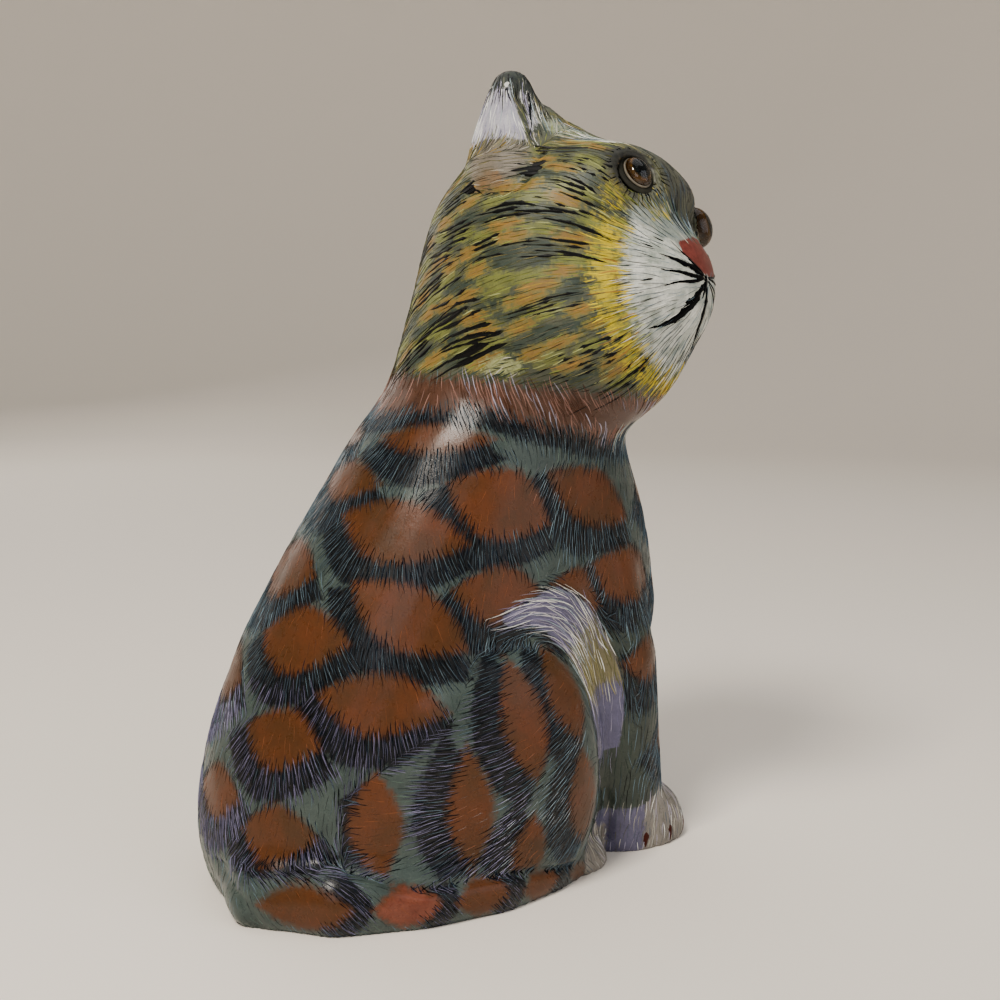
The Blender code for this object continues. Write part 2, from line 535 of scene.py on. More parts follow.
class PaintPlan:
    """The broad areas of colour, each as millimetres inside its edge."""

    @staticmethod
    def spots(w: Where) -> tuple[Array, Array]:
        """The rust spots and the dark bands of fur that hang below or behind them.

        Args:
            w: Places on the skin.

        Returns:
            The rust area and the band area.
        """
        rust, other, band = (np.full(len(w.z), FAR) for _ in range(3))
        haunch, tail = Region.haunch(w), Region.tail(w)
        keep = least(-haunch + 1.5, -tail * 0.8)
        for spot in BODY_SPOTS:
            along, across = spot.on_body(w)
            inside = least(spot.inside(along, across), keep)
            other = most(other, least(rust, inside))
            rust = most(rust, inside)
            band = most(band, least(spot.hung(along, across), keep + 1.0))
        # Where two spots would run together, a gap of bare ground stays between them.
        rust = least(rust, (rust - other) * 0.5 - 0.7)
        keep = least(haunch + 0.4, -tail - 0.6)
        for spot in HAUNCH_LEAVES:
            along, across = spot.turned(w.z - spot.height, w.y - spot.place)
            rust = most(rust, least(spot.inside(along, across), keep))
            behind = leaf(along + 0.8, across - 3.2, spot.long + 2.8, spot.wide + 1.8)
            band = most(band, least(behind, keep))
        for spot in TAIL_PATCHES:
            along, across = w.y - spot.place, w.z - spot.height
            rust = most(rust, least(spot.inside(along, across), tail))
            beside = leaf(along + 4.6, across, spot.long * 0.75, spot.wide + 1.5)
            band = most(band, least(beside, tail))
        low = Region.collar_low(w)
        band = most(band, least(w.z - low + 2.8, low + 0.8 - w.z))
        return least(rust, (low - 1.6 - w.z) * 0.8), least(band, -Region.head(w))

    @staticmethod
    def fan(w: Where) -> Array:
        """How the fur spreads below the nearest spot, from -1 to 1 round the body."""
        nearest = np.full(len(w.z), -3.0)
        lean = np.zeros(len(w.z))
        for spot in BODY_SPOTS:
            along, across = spot.on_body(w)
            hung = spot.hung(along, across)
            spread = np.clip(along / spot.long - 0.15, -1.2, 1.0)
            lean = np.where(hung > nearest, spread if spot.place < 0 else -spread, lean)
            nearest = most(nearest, hung)
        return lean * ramp(nearest, -3.0, 0.0)

    @staticmethod
    def blush(w: Where) -> Array:
        """The redder paint of the tail's second patch."""
        patch = leaf(w.y - TAIL_PATCHES[1].place, w.z - 4, 5.2, 2.8)
        return least(patch, Region.tail(w))

    @staticmethod
    def muzzle(w: Where) -> Array:
        """The white muzzle and chin."""
        edge = 36.5 - 15 * ramp(w.up_face, 42, 78)
        return (edge - w.from_nose) * 0.42

    @staticmethod
    def yellow(w: Where) -> Array:
        """The yellow ruff round the muzzle and the patch under each eye."""
        outer = np.interp(w.up_face, (-75, -50, -20), (42.5, 45.5, 47))
        ring = least(w.from_nose - 37.5, outer - w.from_nose) * 0.42
        ring = least(ring, (19 - w.up_face) * 0.3)
        under_eye = 1.5 - w.far_from((22.0, 9.2, 9.4))
        beside = 1.6 - w.far_from((17.4, 14.8, 9.8), 1.6)
        return most(ring, under_eye, beside)

    @staticmethod
    def nose(w: Where) -> Array:
        """The red nose, wide at the top and narrow at the lip."""
        high = w.face[:, 2]
        aside = np.abs(w.face[:, 1] * w.face_side + 1)
        half = np.interp(high, (0.3, 0.9, 2.2, 4.4), (1.3, 3.2, 5.6, 6.1))
        top = 6.5 - 0.5 * most(aside - 0.9, 0)
        return least(half - aside, top - high, high - 0.2, w.face[:, 0] - 21)

    @staticmethod
    def eye(w: Where) -> Array:
        """The dark lids round the eyes."""
        return 4.6 - w.far_from(EYE + np.array([-0.9, 0.5, 0.8]), 1.1)

    @staticmethod
    def ear_back(w: Where) -> Array:
        """The pale panel on the outside of each ear."""
        high = w.face[:, 2]
        turned = (w.face_out[:, 1] - 0.35 * w.face_out[:, 0] - 0.15) * 6
        fore = np.interp(high, (18, 20.6, 27.5, 32), (1.5, 1.4, -0.2, -1.7)) - w.face[:, 0]
        return least(turned, high - 18.6, 29.0 - high, fore, Region.ear(w) - 0.2)

    @staticmethod
    def ear_tip(w: Where) -> Array:
        """The dark tips of the ears."""
        return least(w.face[:, 2] - 28.4, Region.ear(w) + 3)

    @staticmethod
    def ear_root(w: Where) -> Array:
        """Grey-mauve paint round the root of each ear, made lighter than the head so that it also
        paints the sheen there.
        """
        oval = ((w.face[:, 0] + 2.6) / 5.6) ** 2 + ((w.face[:, 2] - 14.6) / 4.6) ** 2
        return least((1 - np.sqrt(oval)) * 4, w.face[:, 1] - 12)

    @staticmethod
    def ear_stain(w: Where) -> Array:
        """The orange touch at the foot of the ear."""
        oval = ((w.face[:, 0] + 3.4) / 3.0) ** 2 + ((w.face[:, 2] - 11.0) / 1.9) ** 2
        return least((1 - np.sqrt(oval)) * 2, w.face[:, 1] - 12)

    @staticmethod
    def temple(w: Where) -> Array:
        """The grey-olive skin between each eye and the forehead."""
        return 6.2 - w.far_from(EYE + np.array([1.0, -2.0, 1.0]))

    @staticmethod
    def snout(w: Where) -> Array:
        """The greyer skin at the top of the muzzle, under the eyes."""
        return least((38 - w.from_nose) * 0.42, (w.up_face - 24) * 0.3)

    @staticmethod
    def forehead(w: Where) -> Array:
        """The dark grey skin between the eyes, above the white of the muzzle."""
        high = least((w.from_nose - 22) * 0.4, (78 - w.from_nose) * 0.3)
        return least(7.6 - w.face[:, 1], high, (w.up_face - 50) * 0.4)

    @staticmethod
    def cheek(w: Where) -> Array:
        """The pale lime patch low on each cheek."""
        inside = leaf((w.from_nose - 89) * 0.4, (w.up_face + 50.5) * 0.36, 3.8, 1.3)
        return least(inside, Region.head(w) - 0.5)

    @staticmethod
    def brow(w: Where) -> Array:
        """The pale streak from each ear to the brow along the top of the head, pale paint that is
        also a painted sheen.
        """
        streak = leaf((w.from_nose - 74) * 0.42, (w.up_face - 62) * 0.3, 6.0, 1.4)
        return least(streak, w.face[:, 2] - 10)

    @staticmethod
    def collar(w: Where) -> Array:
        """The brown collar under the head, lowest in front."""
        return least(-Region.head(w), w.z - Region.collar_low(w))

    @staticmethod
    def leg(w: Where) -> Array:
        """The dark sides of the front legs."""
        turn = (30 - np.abs(w.turn - 33)) * 0.3
        return least(turn, 44 - w.z, -Region.haunch(w) - 0.5)

    @staticmethod
    def lilac(w: Where) -> Array:
        """The lilac under the crest of each haunch and at the back of each front paw."""
        crest, share, _ = Region.crest(w)
        flat = np.where(share > 0.985, -4.0, crest)
        return most(flat, least(Region.front_paw(w), w.y + 33))

    @staticmethod
    def khaki(w: Where) -> Array:
        """The straw-coloured middle of each crest."""
        crest, share, _ = Region.crest(w)
        return least(crest, (share - 0.42) * 50, (0.69 - share) * 50)

    @staticmethod
    def white(w: Where) -> Array:
        """The white toes."""
        return most(least(Region.front_paw(w), -30.5 - w.y), Region.hind_paw(w))

    @classmethod
    def all_areas(cls, w: Where) -> dict[str, Array]:
        """Every area by its name."""
        rust, band = cls.spots(w)
        off = least(-Region.crest(w)[0], -Region.front_paw(w), -Region.hind_paw(w))
        areas = {
            "head": Region.head(w),
            "band": least(band, off),
            "rust": least(rust, off),
        }
        body = (cls.blush, cls.collar, cls.leg, cls.lilac, cls.khaki, cls.white)
        face = (cls.muzzle, cls.snout, cls.yellow, cls.temple, cls.forehead, cls.cheek, cls.brow)
        ends = (cls.ear_root, cls.ear_stain, cls.ear_back, cls.ear_tip, cls.eye, cls.nose)
        for area in (*body, *face, *ends):
            areas[area.__name__] = area(w)
        return areas


# ---------------------------------------------------------------- finishes


@dataclass(frozen=True)
class Area:
    """One broad colour: the area that it fills, two mottled tones, and sizes in mm.

    soft is the width of its edge, ragged how far the edge wanders, and mottle the size of
    the clouds of its two tones.
    """

    name: str
    tone: str
    second: str
    soft: float = 0.35
    ragged: float = 0.8
    mottle: float = 3.0


@dataclass(frozen=True)
class PaintedWood:
    """Acrylic paint on carved wood under satin varnish.

    The flat colours are brushed thin, so each shows two close tones and a soft, uneven
    edge. The varnish gives broad, slightly broken highlights, and is duller on the head.
    """

    ground: Area = Area("", "#323d3a", "#3f4a46", mottle=4.0)
    roughness: float = 0.28
    # Sizes in mm: the wander of the edges, the brush marks in the paint and the patches of
    # varnish. Real brush marks are about 0.1 mm, and are drawn coarser so that they show.
    wander: float = 0.9
    brush_marks: float = 0.35
    varnish: float = 1.4
    # The colours from the lowest coat to the last one.
    areas: tuple[Area, ...] = (
        Area("head", "#3b4136", "#4e5040", 1.5, 2.0),
        Area("dark", "#27322b", "#343f36", 1.0, 1.6),
        Area("lime", "#5b6030", "#6b7038", 0.8, 1.8),
        Area("ochre", "#71592a", "#7f6430", 0.8, 1.6),
        Area("leg", "#343c34", "#2a322d", 1.2, 1.6),
        Area("band", "#030507", "#070b10", 0.5, 1.2, 1.2),
        Area("rust", "#41270f", "#532c12", 0.8, 0.9, 7.0),
        Area("blush", "#5e2e20", "#6f3c2b", 0.8, 0.9),
        Area("collar", "#412a1d", "#503528", 1.2, 2.4),
        Area("lilac", "#5a5870", "#4c4a60", 0.25, 0.5),
        Area("khaki", "#6f684a", "#57523c", 0.8, 0.8),
        Area("white", "#7c776f", "#68645f", 0.4, 1.2),
        Area("muzzle", "#cacdc5", "#868f85", 0.9, 1.4),
        Area("snout", "#878f86", "#6f7872", 1.6, 2.0),
        Area("yellow", "#b5a112", "#857f28", 1.6, 4.5),
        Area("temple", "#55584a", "#6a6c58", 1.2, 2.0),
        Area("forehead", "#303333", "#464839", 1.2, 1.8, 4.0),
        Area("cheek", "#7a8152", "#949a6c", 0.7, 1.8),
        # brow: pale paint that is also a painted sheen along the top of the head
        Area("brow", "#979e8a", "#7b836e", 0.9, 1.4),
        # ear_root: grey-mauve paint, lightened as a painted sheen at the root of the ear
        Area("ear_root", "#5f5a50", "#6f675a", 0.9, 1.4),
        Area("ear_stain", "#70573a", "#665a48", 0.9, 1.8),
        Area("ear_back", "#a9a8b0", "#8e8d99", 0.3, 0.6),
        Area("ear_tip", "#23282a", "#353b33", 0.6, 2.4, 0.9),
        Area("eye", "#131310", "#2a2a23", 1.1, 2.0, 0.9),
        Area("nose", "#5a2019", "#6f3028", 0.15, 0.3, 0.9),
    )

    def material(self) -> bpy.types.Material:
        """Builds the layered paint as one node material."""
        made, tree = new_material("acrylic_on_carved_wood")
        coords = add_node(tree, "TexCoord", {}, {}).outputs["Object"]
        coarse, fine = 3.0, 2.0
        sizes = {(area.mottle, coarse) for area in (self.ground, *self.areas)}
        sizes |= {(self.varnish, coarse), (self.wander, fine), (self.brush_marks, fine)}
        noise, clouds = {}, {}
        for size, detail in sorted(sizes):
            look = {"Vector": coords, "Scale": 1 / (size * MM), "Detail": detail, "Roughness": 0.6}
            noise[size, detail] = add_node(tree, "TexNoise", {}, look)
            stretched = {"Value": noise[size, detail], "From Min": 0.35, "From Max": 0.65}
            clouds[size, detail] = add_node(tree, "MapRange", {}, stretched)
        off_edge = {0: noise[self.wander, fine], 1: 0.5}
        edge = add_node(tree, "Math", {"operation": "SUBTRACT"}, off_edge)
        colour = None
        for area in (self.ground, *self.areas):
            both = {0: clouds[area.mottle, coarse], 6: linear(area.tone), 7: linear(area.second)}
            tones = add_node(tree, "Mix", COLOURS, both).outputs[MIXED]
            if colour is None:
                colour = tones
                continue
            read = add_node(tree, "Attribute", {"attribute_name": AREA + area.name}, {})
            moved = {0: edge, 1: area.ragged * 2, 2: read.outputs["Fac"]}
            inside = add_node(tree, "Math", {"operation": "MULTIPLY_ADD"}, moved)
            step = {"Value": inside, "From Min": -area.soft, "From Max": area.soft}
            share = add_node(tree, "MapRange", {"interpolation_type": "SMOOTHSTEP"}, step)
            colour = add_node(tree, "Mix", COLOURS, {0: share, 6: colour, 7: tones}).outputs[MIXED]
        grain = noise[self.brush_marks, fine]
        marks = {"Value": grain, "From Min": 0.3, "From Max": 0.7, "To Min": 0.88, "To Max": 1.12}
        speck = add_node(tree, "MapRange", {}, marks)
        shaded = add_node(tree, "Mix", SHADES, {0: 1.0, 6: colour, 7: speck})
        gloss = {"To Min": self.roughness - 0.07, "To Max": self.roughness + 0.09}
        broken = add_node(tree, "MapRange", {}, {"Value": noise[self.varnish, coarse], **gloss})
        head = add_node(tree, "Attribute", {"attribute_name": AREA + "head"}, {}).outputs["Fac"]
        duller = add_node(tree, "MapRange", {}, {"Value": head, "From Max": 2.0, "To Max": 0.16})
        rough = add_node(tree, "Math", {"operation": "ADD"}, {0: broken, 1: duller})
        relief = {"Strength": 0.35, "Distance": 0.00006, "Height": grain}
        bump = add_node(tree, "Bump", {}, relief)
        finish_surface(
            tree,
            {
                "Base Color": shaded.outputs[MIXED],
                "Roughness": rough,
                "Normal": bump,
                "Specular IOR Level": 0.26,
            },
        )
        return made


class Pot(Enum):
    """The pots of paint that the strokes are brushed from."""

    BLACK = "#030405"
    BLUE_BLACK = "#060b10"
    NAVY = "#0d141f"
    SLATE = "#3a4852"
    STEEL = "#4c5d68"
    DUSK = "#56556c"
    BLUE_GREY = "#5f737d"
    ICE = "#84949a"
    WHITE = "#d5d6d0"
    BONE = "#b8b5a6"
    SAGE = "#566a5e"
    DARK_SAGE = "#2f3d36"
    OLIVE = "#50512a"
    LIME = "#727a38"
    PALE_LIME = "#989e66"
    YELLOW = "#cdb60c"
    STRAW = "#8a8252"
    OCHRE = "#86702c"
    ORANGE = "#96702f"
    RUST = "#7d4727"
    BROWN = "#3d2416"
    PINK = "#8c6a5f"
    LILAC = "#777390"
    MAUVE = "#a5a0b2"
    CLAW = "#3a1a14"
    GREY = "#4e5042"
    MOSS = "#373c2c"


POTS = list(Pot)
TONES = 4


def pot(*paints: Pot) -> Array:
    """The numbers of these pots."""
    return np.array([POTS.index(paint) for paint in paints])


class Sheen(Enum):
    """How glossy the varnished strokes of a layer are: roughness and specular level."""

    SATIN = (0.31, 0.2)
    DULL = (0.46, 0.12)
    DEEP = (0.31, 0.03)


@dataclass(frozen=True)
class BrushedPaint:
    """Acrylic paint laid in single brush strokes, under the same satin varnish.

    A stroke's own map says which pot it comes from and how thin it was loaded: u picks the
    pot, and v the tone, so each hair has a clean colour and neighbours differ a little.
    """

    name: str
    sheen: Sheen

    def material(self) -> bpy.types.Material:
        """Builds the row of pots as one node material."""
        made, tree = new_material(self.name)
        lay = add_node(tree, "UVMap", {"uv_map": MAP}, {})
        split = add_node(tree, "SeparateXYZ", {}, {0: lay})
        pots = add_node(tree, "ValToRGB", {}, {0: split})
        row = pots.color_ramp
        row.interpolation = "CONSTANT"
        while len(row.elements) < len(POTS):
            row.elements.new(1.0)
        for number, (mark, paint) in enumerate(zip(row.elements, POTS)):
            mark.position = number / len(POTS)
            mark.color = linear(paint.value)
        thin = {"Value": split.outputs[1], "To Min": 0.72, "To Max": 1.28}
        tone = add_node(tree, "MapRange", {}, thin)
        colour = add_node(tree, "Mix", SHADES, {0: 1.0, 6: pots, 7: tone}).outputs[MIXED]
        rough, shine = self.sheen.value
        look = {"Roughness": rough, "Specular IOR Level": shine}
        finish_surface(tree, {"Base Color": colour, **look})
        return made


# ---------------------------------------------------------------- the carving


@dataclass
class Carving:
    """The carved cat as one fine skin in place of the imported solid.

    grid is the size of its even faces, rounds how often it is sanded, weld the distance at
    which the solid's corners are merged, and foot the height of what stays flat. The heel
    is the squarer corner at the back right: its place, how far it is drawn out, the radius
    of what follows it and the way it goes.
    """

    grid: float = 0.68
    rounds: int = 26
    weld: float = 0.01
    foot: float = 0.3
    heel: Point = (-12.5, 39.5, 0.0)
    heel_push: float = 3.1
    heel_radius: float = 8.0
    heel_way: tuple[float, float] = (-0.5, 0.87)
    tree: BVHTree | None = field(default=None, init=False)
    piece: bpy.types.Object | None = field(default=None, init=False)

    # Knife cuts seen from the side, in y and z: the tail's end and the fold of the front leg.
    TAIL_END = ((42, 7), (40, 3.5), (38, 0))
    LEG_FOLD = ((-17.5, 22), (-20.5, 16), (-23.5, 10), (-24, 0))
    # The cut under the ear, in the head's x and z.
    EAR_SEAM = ((-8, 11), (-6, 9.4), (0, 8.4), (3.5, 9.6), (5.0, 13), (4.4, 17), (2.4, 21))
    # Between the toes: places in y on the side of the paw, and in x on its front.
    SIDE_TOES = (-33.5, -38.0)
    FRONT_TOES = (6.0, 10.5)
    # Soft swells and hollows of the head: its place and tallness in head axes, its radius,
    # and how far it stands out on the cat's right and left.
    SWELLS = (
        ((24.2, 2.4, 10.4), 1.15, 3.3, -1.3, -2.7),  # the bridge of the nose
        ((21.8, 8.8, 12.6), 1.15, 2.8, 0.0, -3.1),  # the inner corner of the left eye
        ((1.5, 12.0, 22.0), 1.3, 4.0, 0.9, 0.9),  # the brow
        ((-1.0, 10.9, 28.2), 1.0, 2.8, 1.7, 1.7),  # the web in front of the ear
        ((3.4, 4.6, 26.8), 1.0, 4.2, -1.0, -1.0),  # the crown
    )

    def fine_skin(self) -> bmesh.types.BMesh:
        """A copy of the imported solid, merged and meshed again in small, even faces."""
        bm = bmesh.new()
        bm.from_mesh(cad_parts["carved_cat"].data)
        bmesh.ops.remove_doubles(bm, verts=bm.verts, dist=self.weld * MM)
        rough = place_piece("rough_cat", bm, 1.0)
        remesh = rough.modifiers.new("even_faces", "REMESH")
        remesh.mode = "VOXEL"
        remesh.voxel_size = self.grid * MM
        graph = bpy.context.evaluated_depsgraph_get()
        mesh = bpy.data.meshes.new_from_object(rough.evaluated_get(graph))
        fine = bmesh.new()
        fine.from_mesh(mesh)
        bpy.data.objects.remove(rough)
        bpy.data.meshes.remove(mesh)
        bmesh.ops.scale(fine, vec=(1 / MM, 1 / MM, 1 / MM), verts=fine.verts)
        return fine

    def sanded(self, bm: bmesh.types.BMesh) -> None:
        """Smooths the skin without shrinking it, and keeps its foot flat.

        Args:
            bm: The skin, changed in place.
        """
        foot = [vert for vert in bm.verts if vert.co.z < self.foot]
        every_way = {"use_axis_x": True, "use_axis_y": True, "use_axis_z": True}
        for _ in range(self.rounds):
            for push in (0.5, -0.51):
                bmesh.ops.smooth_vert(bm, verts=bm.verts, factor=push, **every_way)
        for vert in foot:
            vert.co.z = 0.0

    @classmethod
    def creases(cls, w: Where) -> Array:
        """How far the knife and the sanding move the skin outwards at each place.

        Args:
            w: Places on the skin.

        Returns:
            Millimetres outwards, less than 0 in a hollow.
        """
        right = w.side < 0
        haunch = Region.haunch(w)
        fore = ramp(-w.y, -10, -2) * ramp(w.across, 12, 16) * ramp(w.z, 1, 6)
        moved = -0.55 * hump(haunch, 1.1) * fore
        moved += 0.35 * ramp(haunch, 0.2, 3.0) * fore
        ends = ramp(w.y, -20, -8) * ramp(-w.y, -32, -28) * right
        moved -= 0.85 * hump(Region.tail(w), 0.8) * ends
        side_view, face_view = w.at[:, 1:], w.face[:, [0, 2]]
        gap = along_line(side_view, cls.TAIL_END)[0]
        moved -= 0.6 * hump(gap, 0.7) * right * ramp(w.y, 30, 36)
        gap = along_line(side_view, cls.LEG_FOLD)[0]
        moved -= 0.7 * hump(gap, 0.9) * ramp(w.across, 11, 14)
        for toe in cls.SIDE_TOES:
            moved -= 0.45 * (hump(w.y - toe, 0.8) * ramp(-w.z, -6.5, -3)) * (w.y < -28)
        moved -= 2.2 * hump(w.across, 1.5) * (ramp(-w.y, 18, 25) * ramp(-w.z, -42, -26))
        for toe in cls.FRONT_TOES:
            moved -= 0.5 * hump(w.across - toe, 0.8) * ramp(-w.y, 36, 40) * ramp(-w.z, -7, -3)
        gap = along_line(face_view, cls.EAR_SEAM)[0]
        moved -= 0.55 * hump(gap, 0.65) * ramp(w.face[:, 1], 12, 15)
        scooped = ramp(w.face_out[:, 0], 0.35, 0.85) * ramp(Region.ear(w), -1.5, 2.5)
        moved -= 1.5 * scooped * ramp(-w.face[:, 2], -32.5, -27)
        left_face = w.face_side > 0
        for place, tall, radius, on_right, on_left in cls.SWELLS:
            swell = hump(w.far_from(place, tall), radius)
            moved += np.where(left_face, on_left, on_right) * swell
        moved += np.where(left_face, 0.0, 0.3) * hump(w.far_from(EYE) - 4.0, 0.7)
        shoulder = (w.z - Region.collar_low(w) + 4.5) / 4.5
        moved += 0.4 * np.exp(-(shoulder**2)) * ramp(w.turn, 60, 100)
        # The last, faint unevenness of hand sanding.
        x, y, z = w.at.T
        moved += 0.05 * np.sin(x * 0.9 + y * 0.35) * np.sin(z * 0.55 + y * 0.5)
        return moved

    def build(self, wood: PaintedWood) -> bpy.types.Object:
        """Makes, carves and paints the skin.

        Args:
            wood: The finish that it wears.

        Returns:
            The piece.
        """
        bm = self.fine_skin()
        self.sanded(bm)
        bmesh.ops.recalc_face_normals(bm, faces=bm.faces)
        piece = place_piece("carved_body", bm, 1.0)
        mesh = piece.data
        at, out = self.points_of(mesh)
        moved = self.creases(Where.of(at, out))[:, None] * out
        moved[at[:, 2] < 0.05, 2] = 0.0
        at = at + moved
        at[:, 2] = most(at[:, 2], 0.0)
        heel = np.linalg.norm(at - np.array(self.heel), axis=1)[:, None]
        at[:, :2] += self.heel_push * hump(heel, self.heel_radius) * self.heel_way
        mesh.vertices.foreach_set("co", at.astype(np.float32).ravel())
        mesh.update()
        at, out = self.points_of(mesh)
        faces = [tuple(face.vertices) for face in mesh.polygons]
        self.tree = BVHTree.FromPolygons([tuple(p) for p in at], faces)
        set_areas(mesh, PaintPlan.all_areas(Where.of(at, out)))
        mesh.transform(Matrix.Scale(MM, 4))
        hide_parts("carved_cat")
        self.piece = settle(piece, wood.material())
        return piece

    @staticmethod
    def points_of(mesh: bpy.types.Mesh) -> tuple[Array, Array]:
        """The mesh's points and their outward directions."""
        at = np.empty(len(mesh.vertices) * 3, np.float32)
        out = np.empty(len(mesh.vertices) * 3, np.float32)
        mesh.vertices.foreach_get("co", at)
        mesh.vertex_normals.foreach_get("vector", out)
        return at.reshape(-1, 3).astype(float), out.reshape(-1, 3).astype(float)


# ---------------------------------------------------------------- the lie of the fur


class FurLie:
    """Which way the fur lies."""

    # On the head, by the angle back from the nose and up the face: how much it droops.
    DROOP = ((55, 62, 78, 95, 112, 130, 160), (0.05, 0.08, 0.4, 0.42, 0.5, 0.3, 0.5))
    DROOP_UP = ((-60, -43, -28, 0, 27), (0.1, 0.3, 0.4, 0.7, 1.0))
    TAIL_WAY = (0.0, -0.65, -0.75)

    @staticmethod
    def flat(way: Array, out: Array) -> Array:
        """The way with what points out of the skin taken off."""
        return way - np.sum(way * out, axis=1, keepdims=True) * out

    @staticmethod
    def haunch_way(w: Where) -> Array:
        """Fur that sweeps back and down over the haunches, steeper low down and in front."""
        slope = 0.28 + 0.4 * ramp(-w.z, -24, -10) + 1.6 * ramp(-w.y, 8, 17) - 0.03 * (w.y - 5)
        return np.stack([np.zeros_like(slope), np.ones_like(slope), -slope], 1)

    @classmethod
    def head_way(cls, w: Where) -> Array:
        """Fur that fans out from the nose and droops towards the nape."""
        way = unit(cls.flat(w.face - NOSE, w.face_out))
        droop = np.interp(w.from_nose, *cls.DROOP)
        way[:, 2] -= droop * np.interp(w.up_face, *cls.DROOP_UP)
        ear = ramp(Region.ear(w), -0.5, 2.0)[:, None]
        way = unit(way) * (1 - ear) + unit(EAR_ROOT - EAR_TIP) * ear
        way[:, 1] *= w.face_side
        return way @ HEAD.turned().T

    @classmethod
    def way(cls, w: Where, neck: float = 84.0) -> Array:
        """The way of the fur along the skin.

        Args:
            w: Places on the skin.
            neck: The height where the fur of the head begins.

        Returns:
            One unit vector a place, tangent to the skin.
        """
        way = np.zeros_like(w.at)
        way[:, 2] = -1.0
        way[:, 1] = 0.10 * np.sin(w.z * 0.12) - 0.4 * ramp(w.z, 70, 76) * ramp(w.across, 8, 14)
        turn = np.radians(w.around)
        round_it = np.stack([np.cos(turn), np.sin(turn), np.zeros_like(turn)], 1)
        way += round_it * (0.55 * PaintPlan.fan(w) * ramp(-w.z, -76, -70))[:, None]
        haunch = ramp(Region.haunch(w), -0.4, 1.0)[:, None]
        way = way * (1 - haunch) + unit(cls.haunch_way(w)) * haunch
        tail = ramp(Region.tail(w), -0.2, 0.6)[:, None]
        way = way * (1 - tail) + np.array(cls.TAIL_WAY) * tail
        crest, _, line = Region.crest(w)
        share = ramp(crest, -4.0, -1.5)[:, None]
        back = np.concatenate([np.zeros((len(line), 1)), -line], 1)
        way = way * (1 - share) + back * share
        head = ramp(w.z, neck - 2.0, neck + 2.0)[:, None]
        way = unit(way) * (1 - head) + unit(cls.head_way(w)) * head
        return unit(cls.flat(way, w.out))


# ---------------------------------------------------------------- brush strokes


@dataclass(frozen=True)
class Brush:
    """How one kind of stroke is laid: sizes in mm, gaps to its neighbours, and its lift.

    stray and curl are the spread in degrees of its way and of its bend.
    """

    long: tuple[float, float]
    wide: tuple[float, float]
    lift: float
    beside: float = 0.7
    behind: float = 2.6
    stray: float = 6.0
    curl: float = 3.0


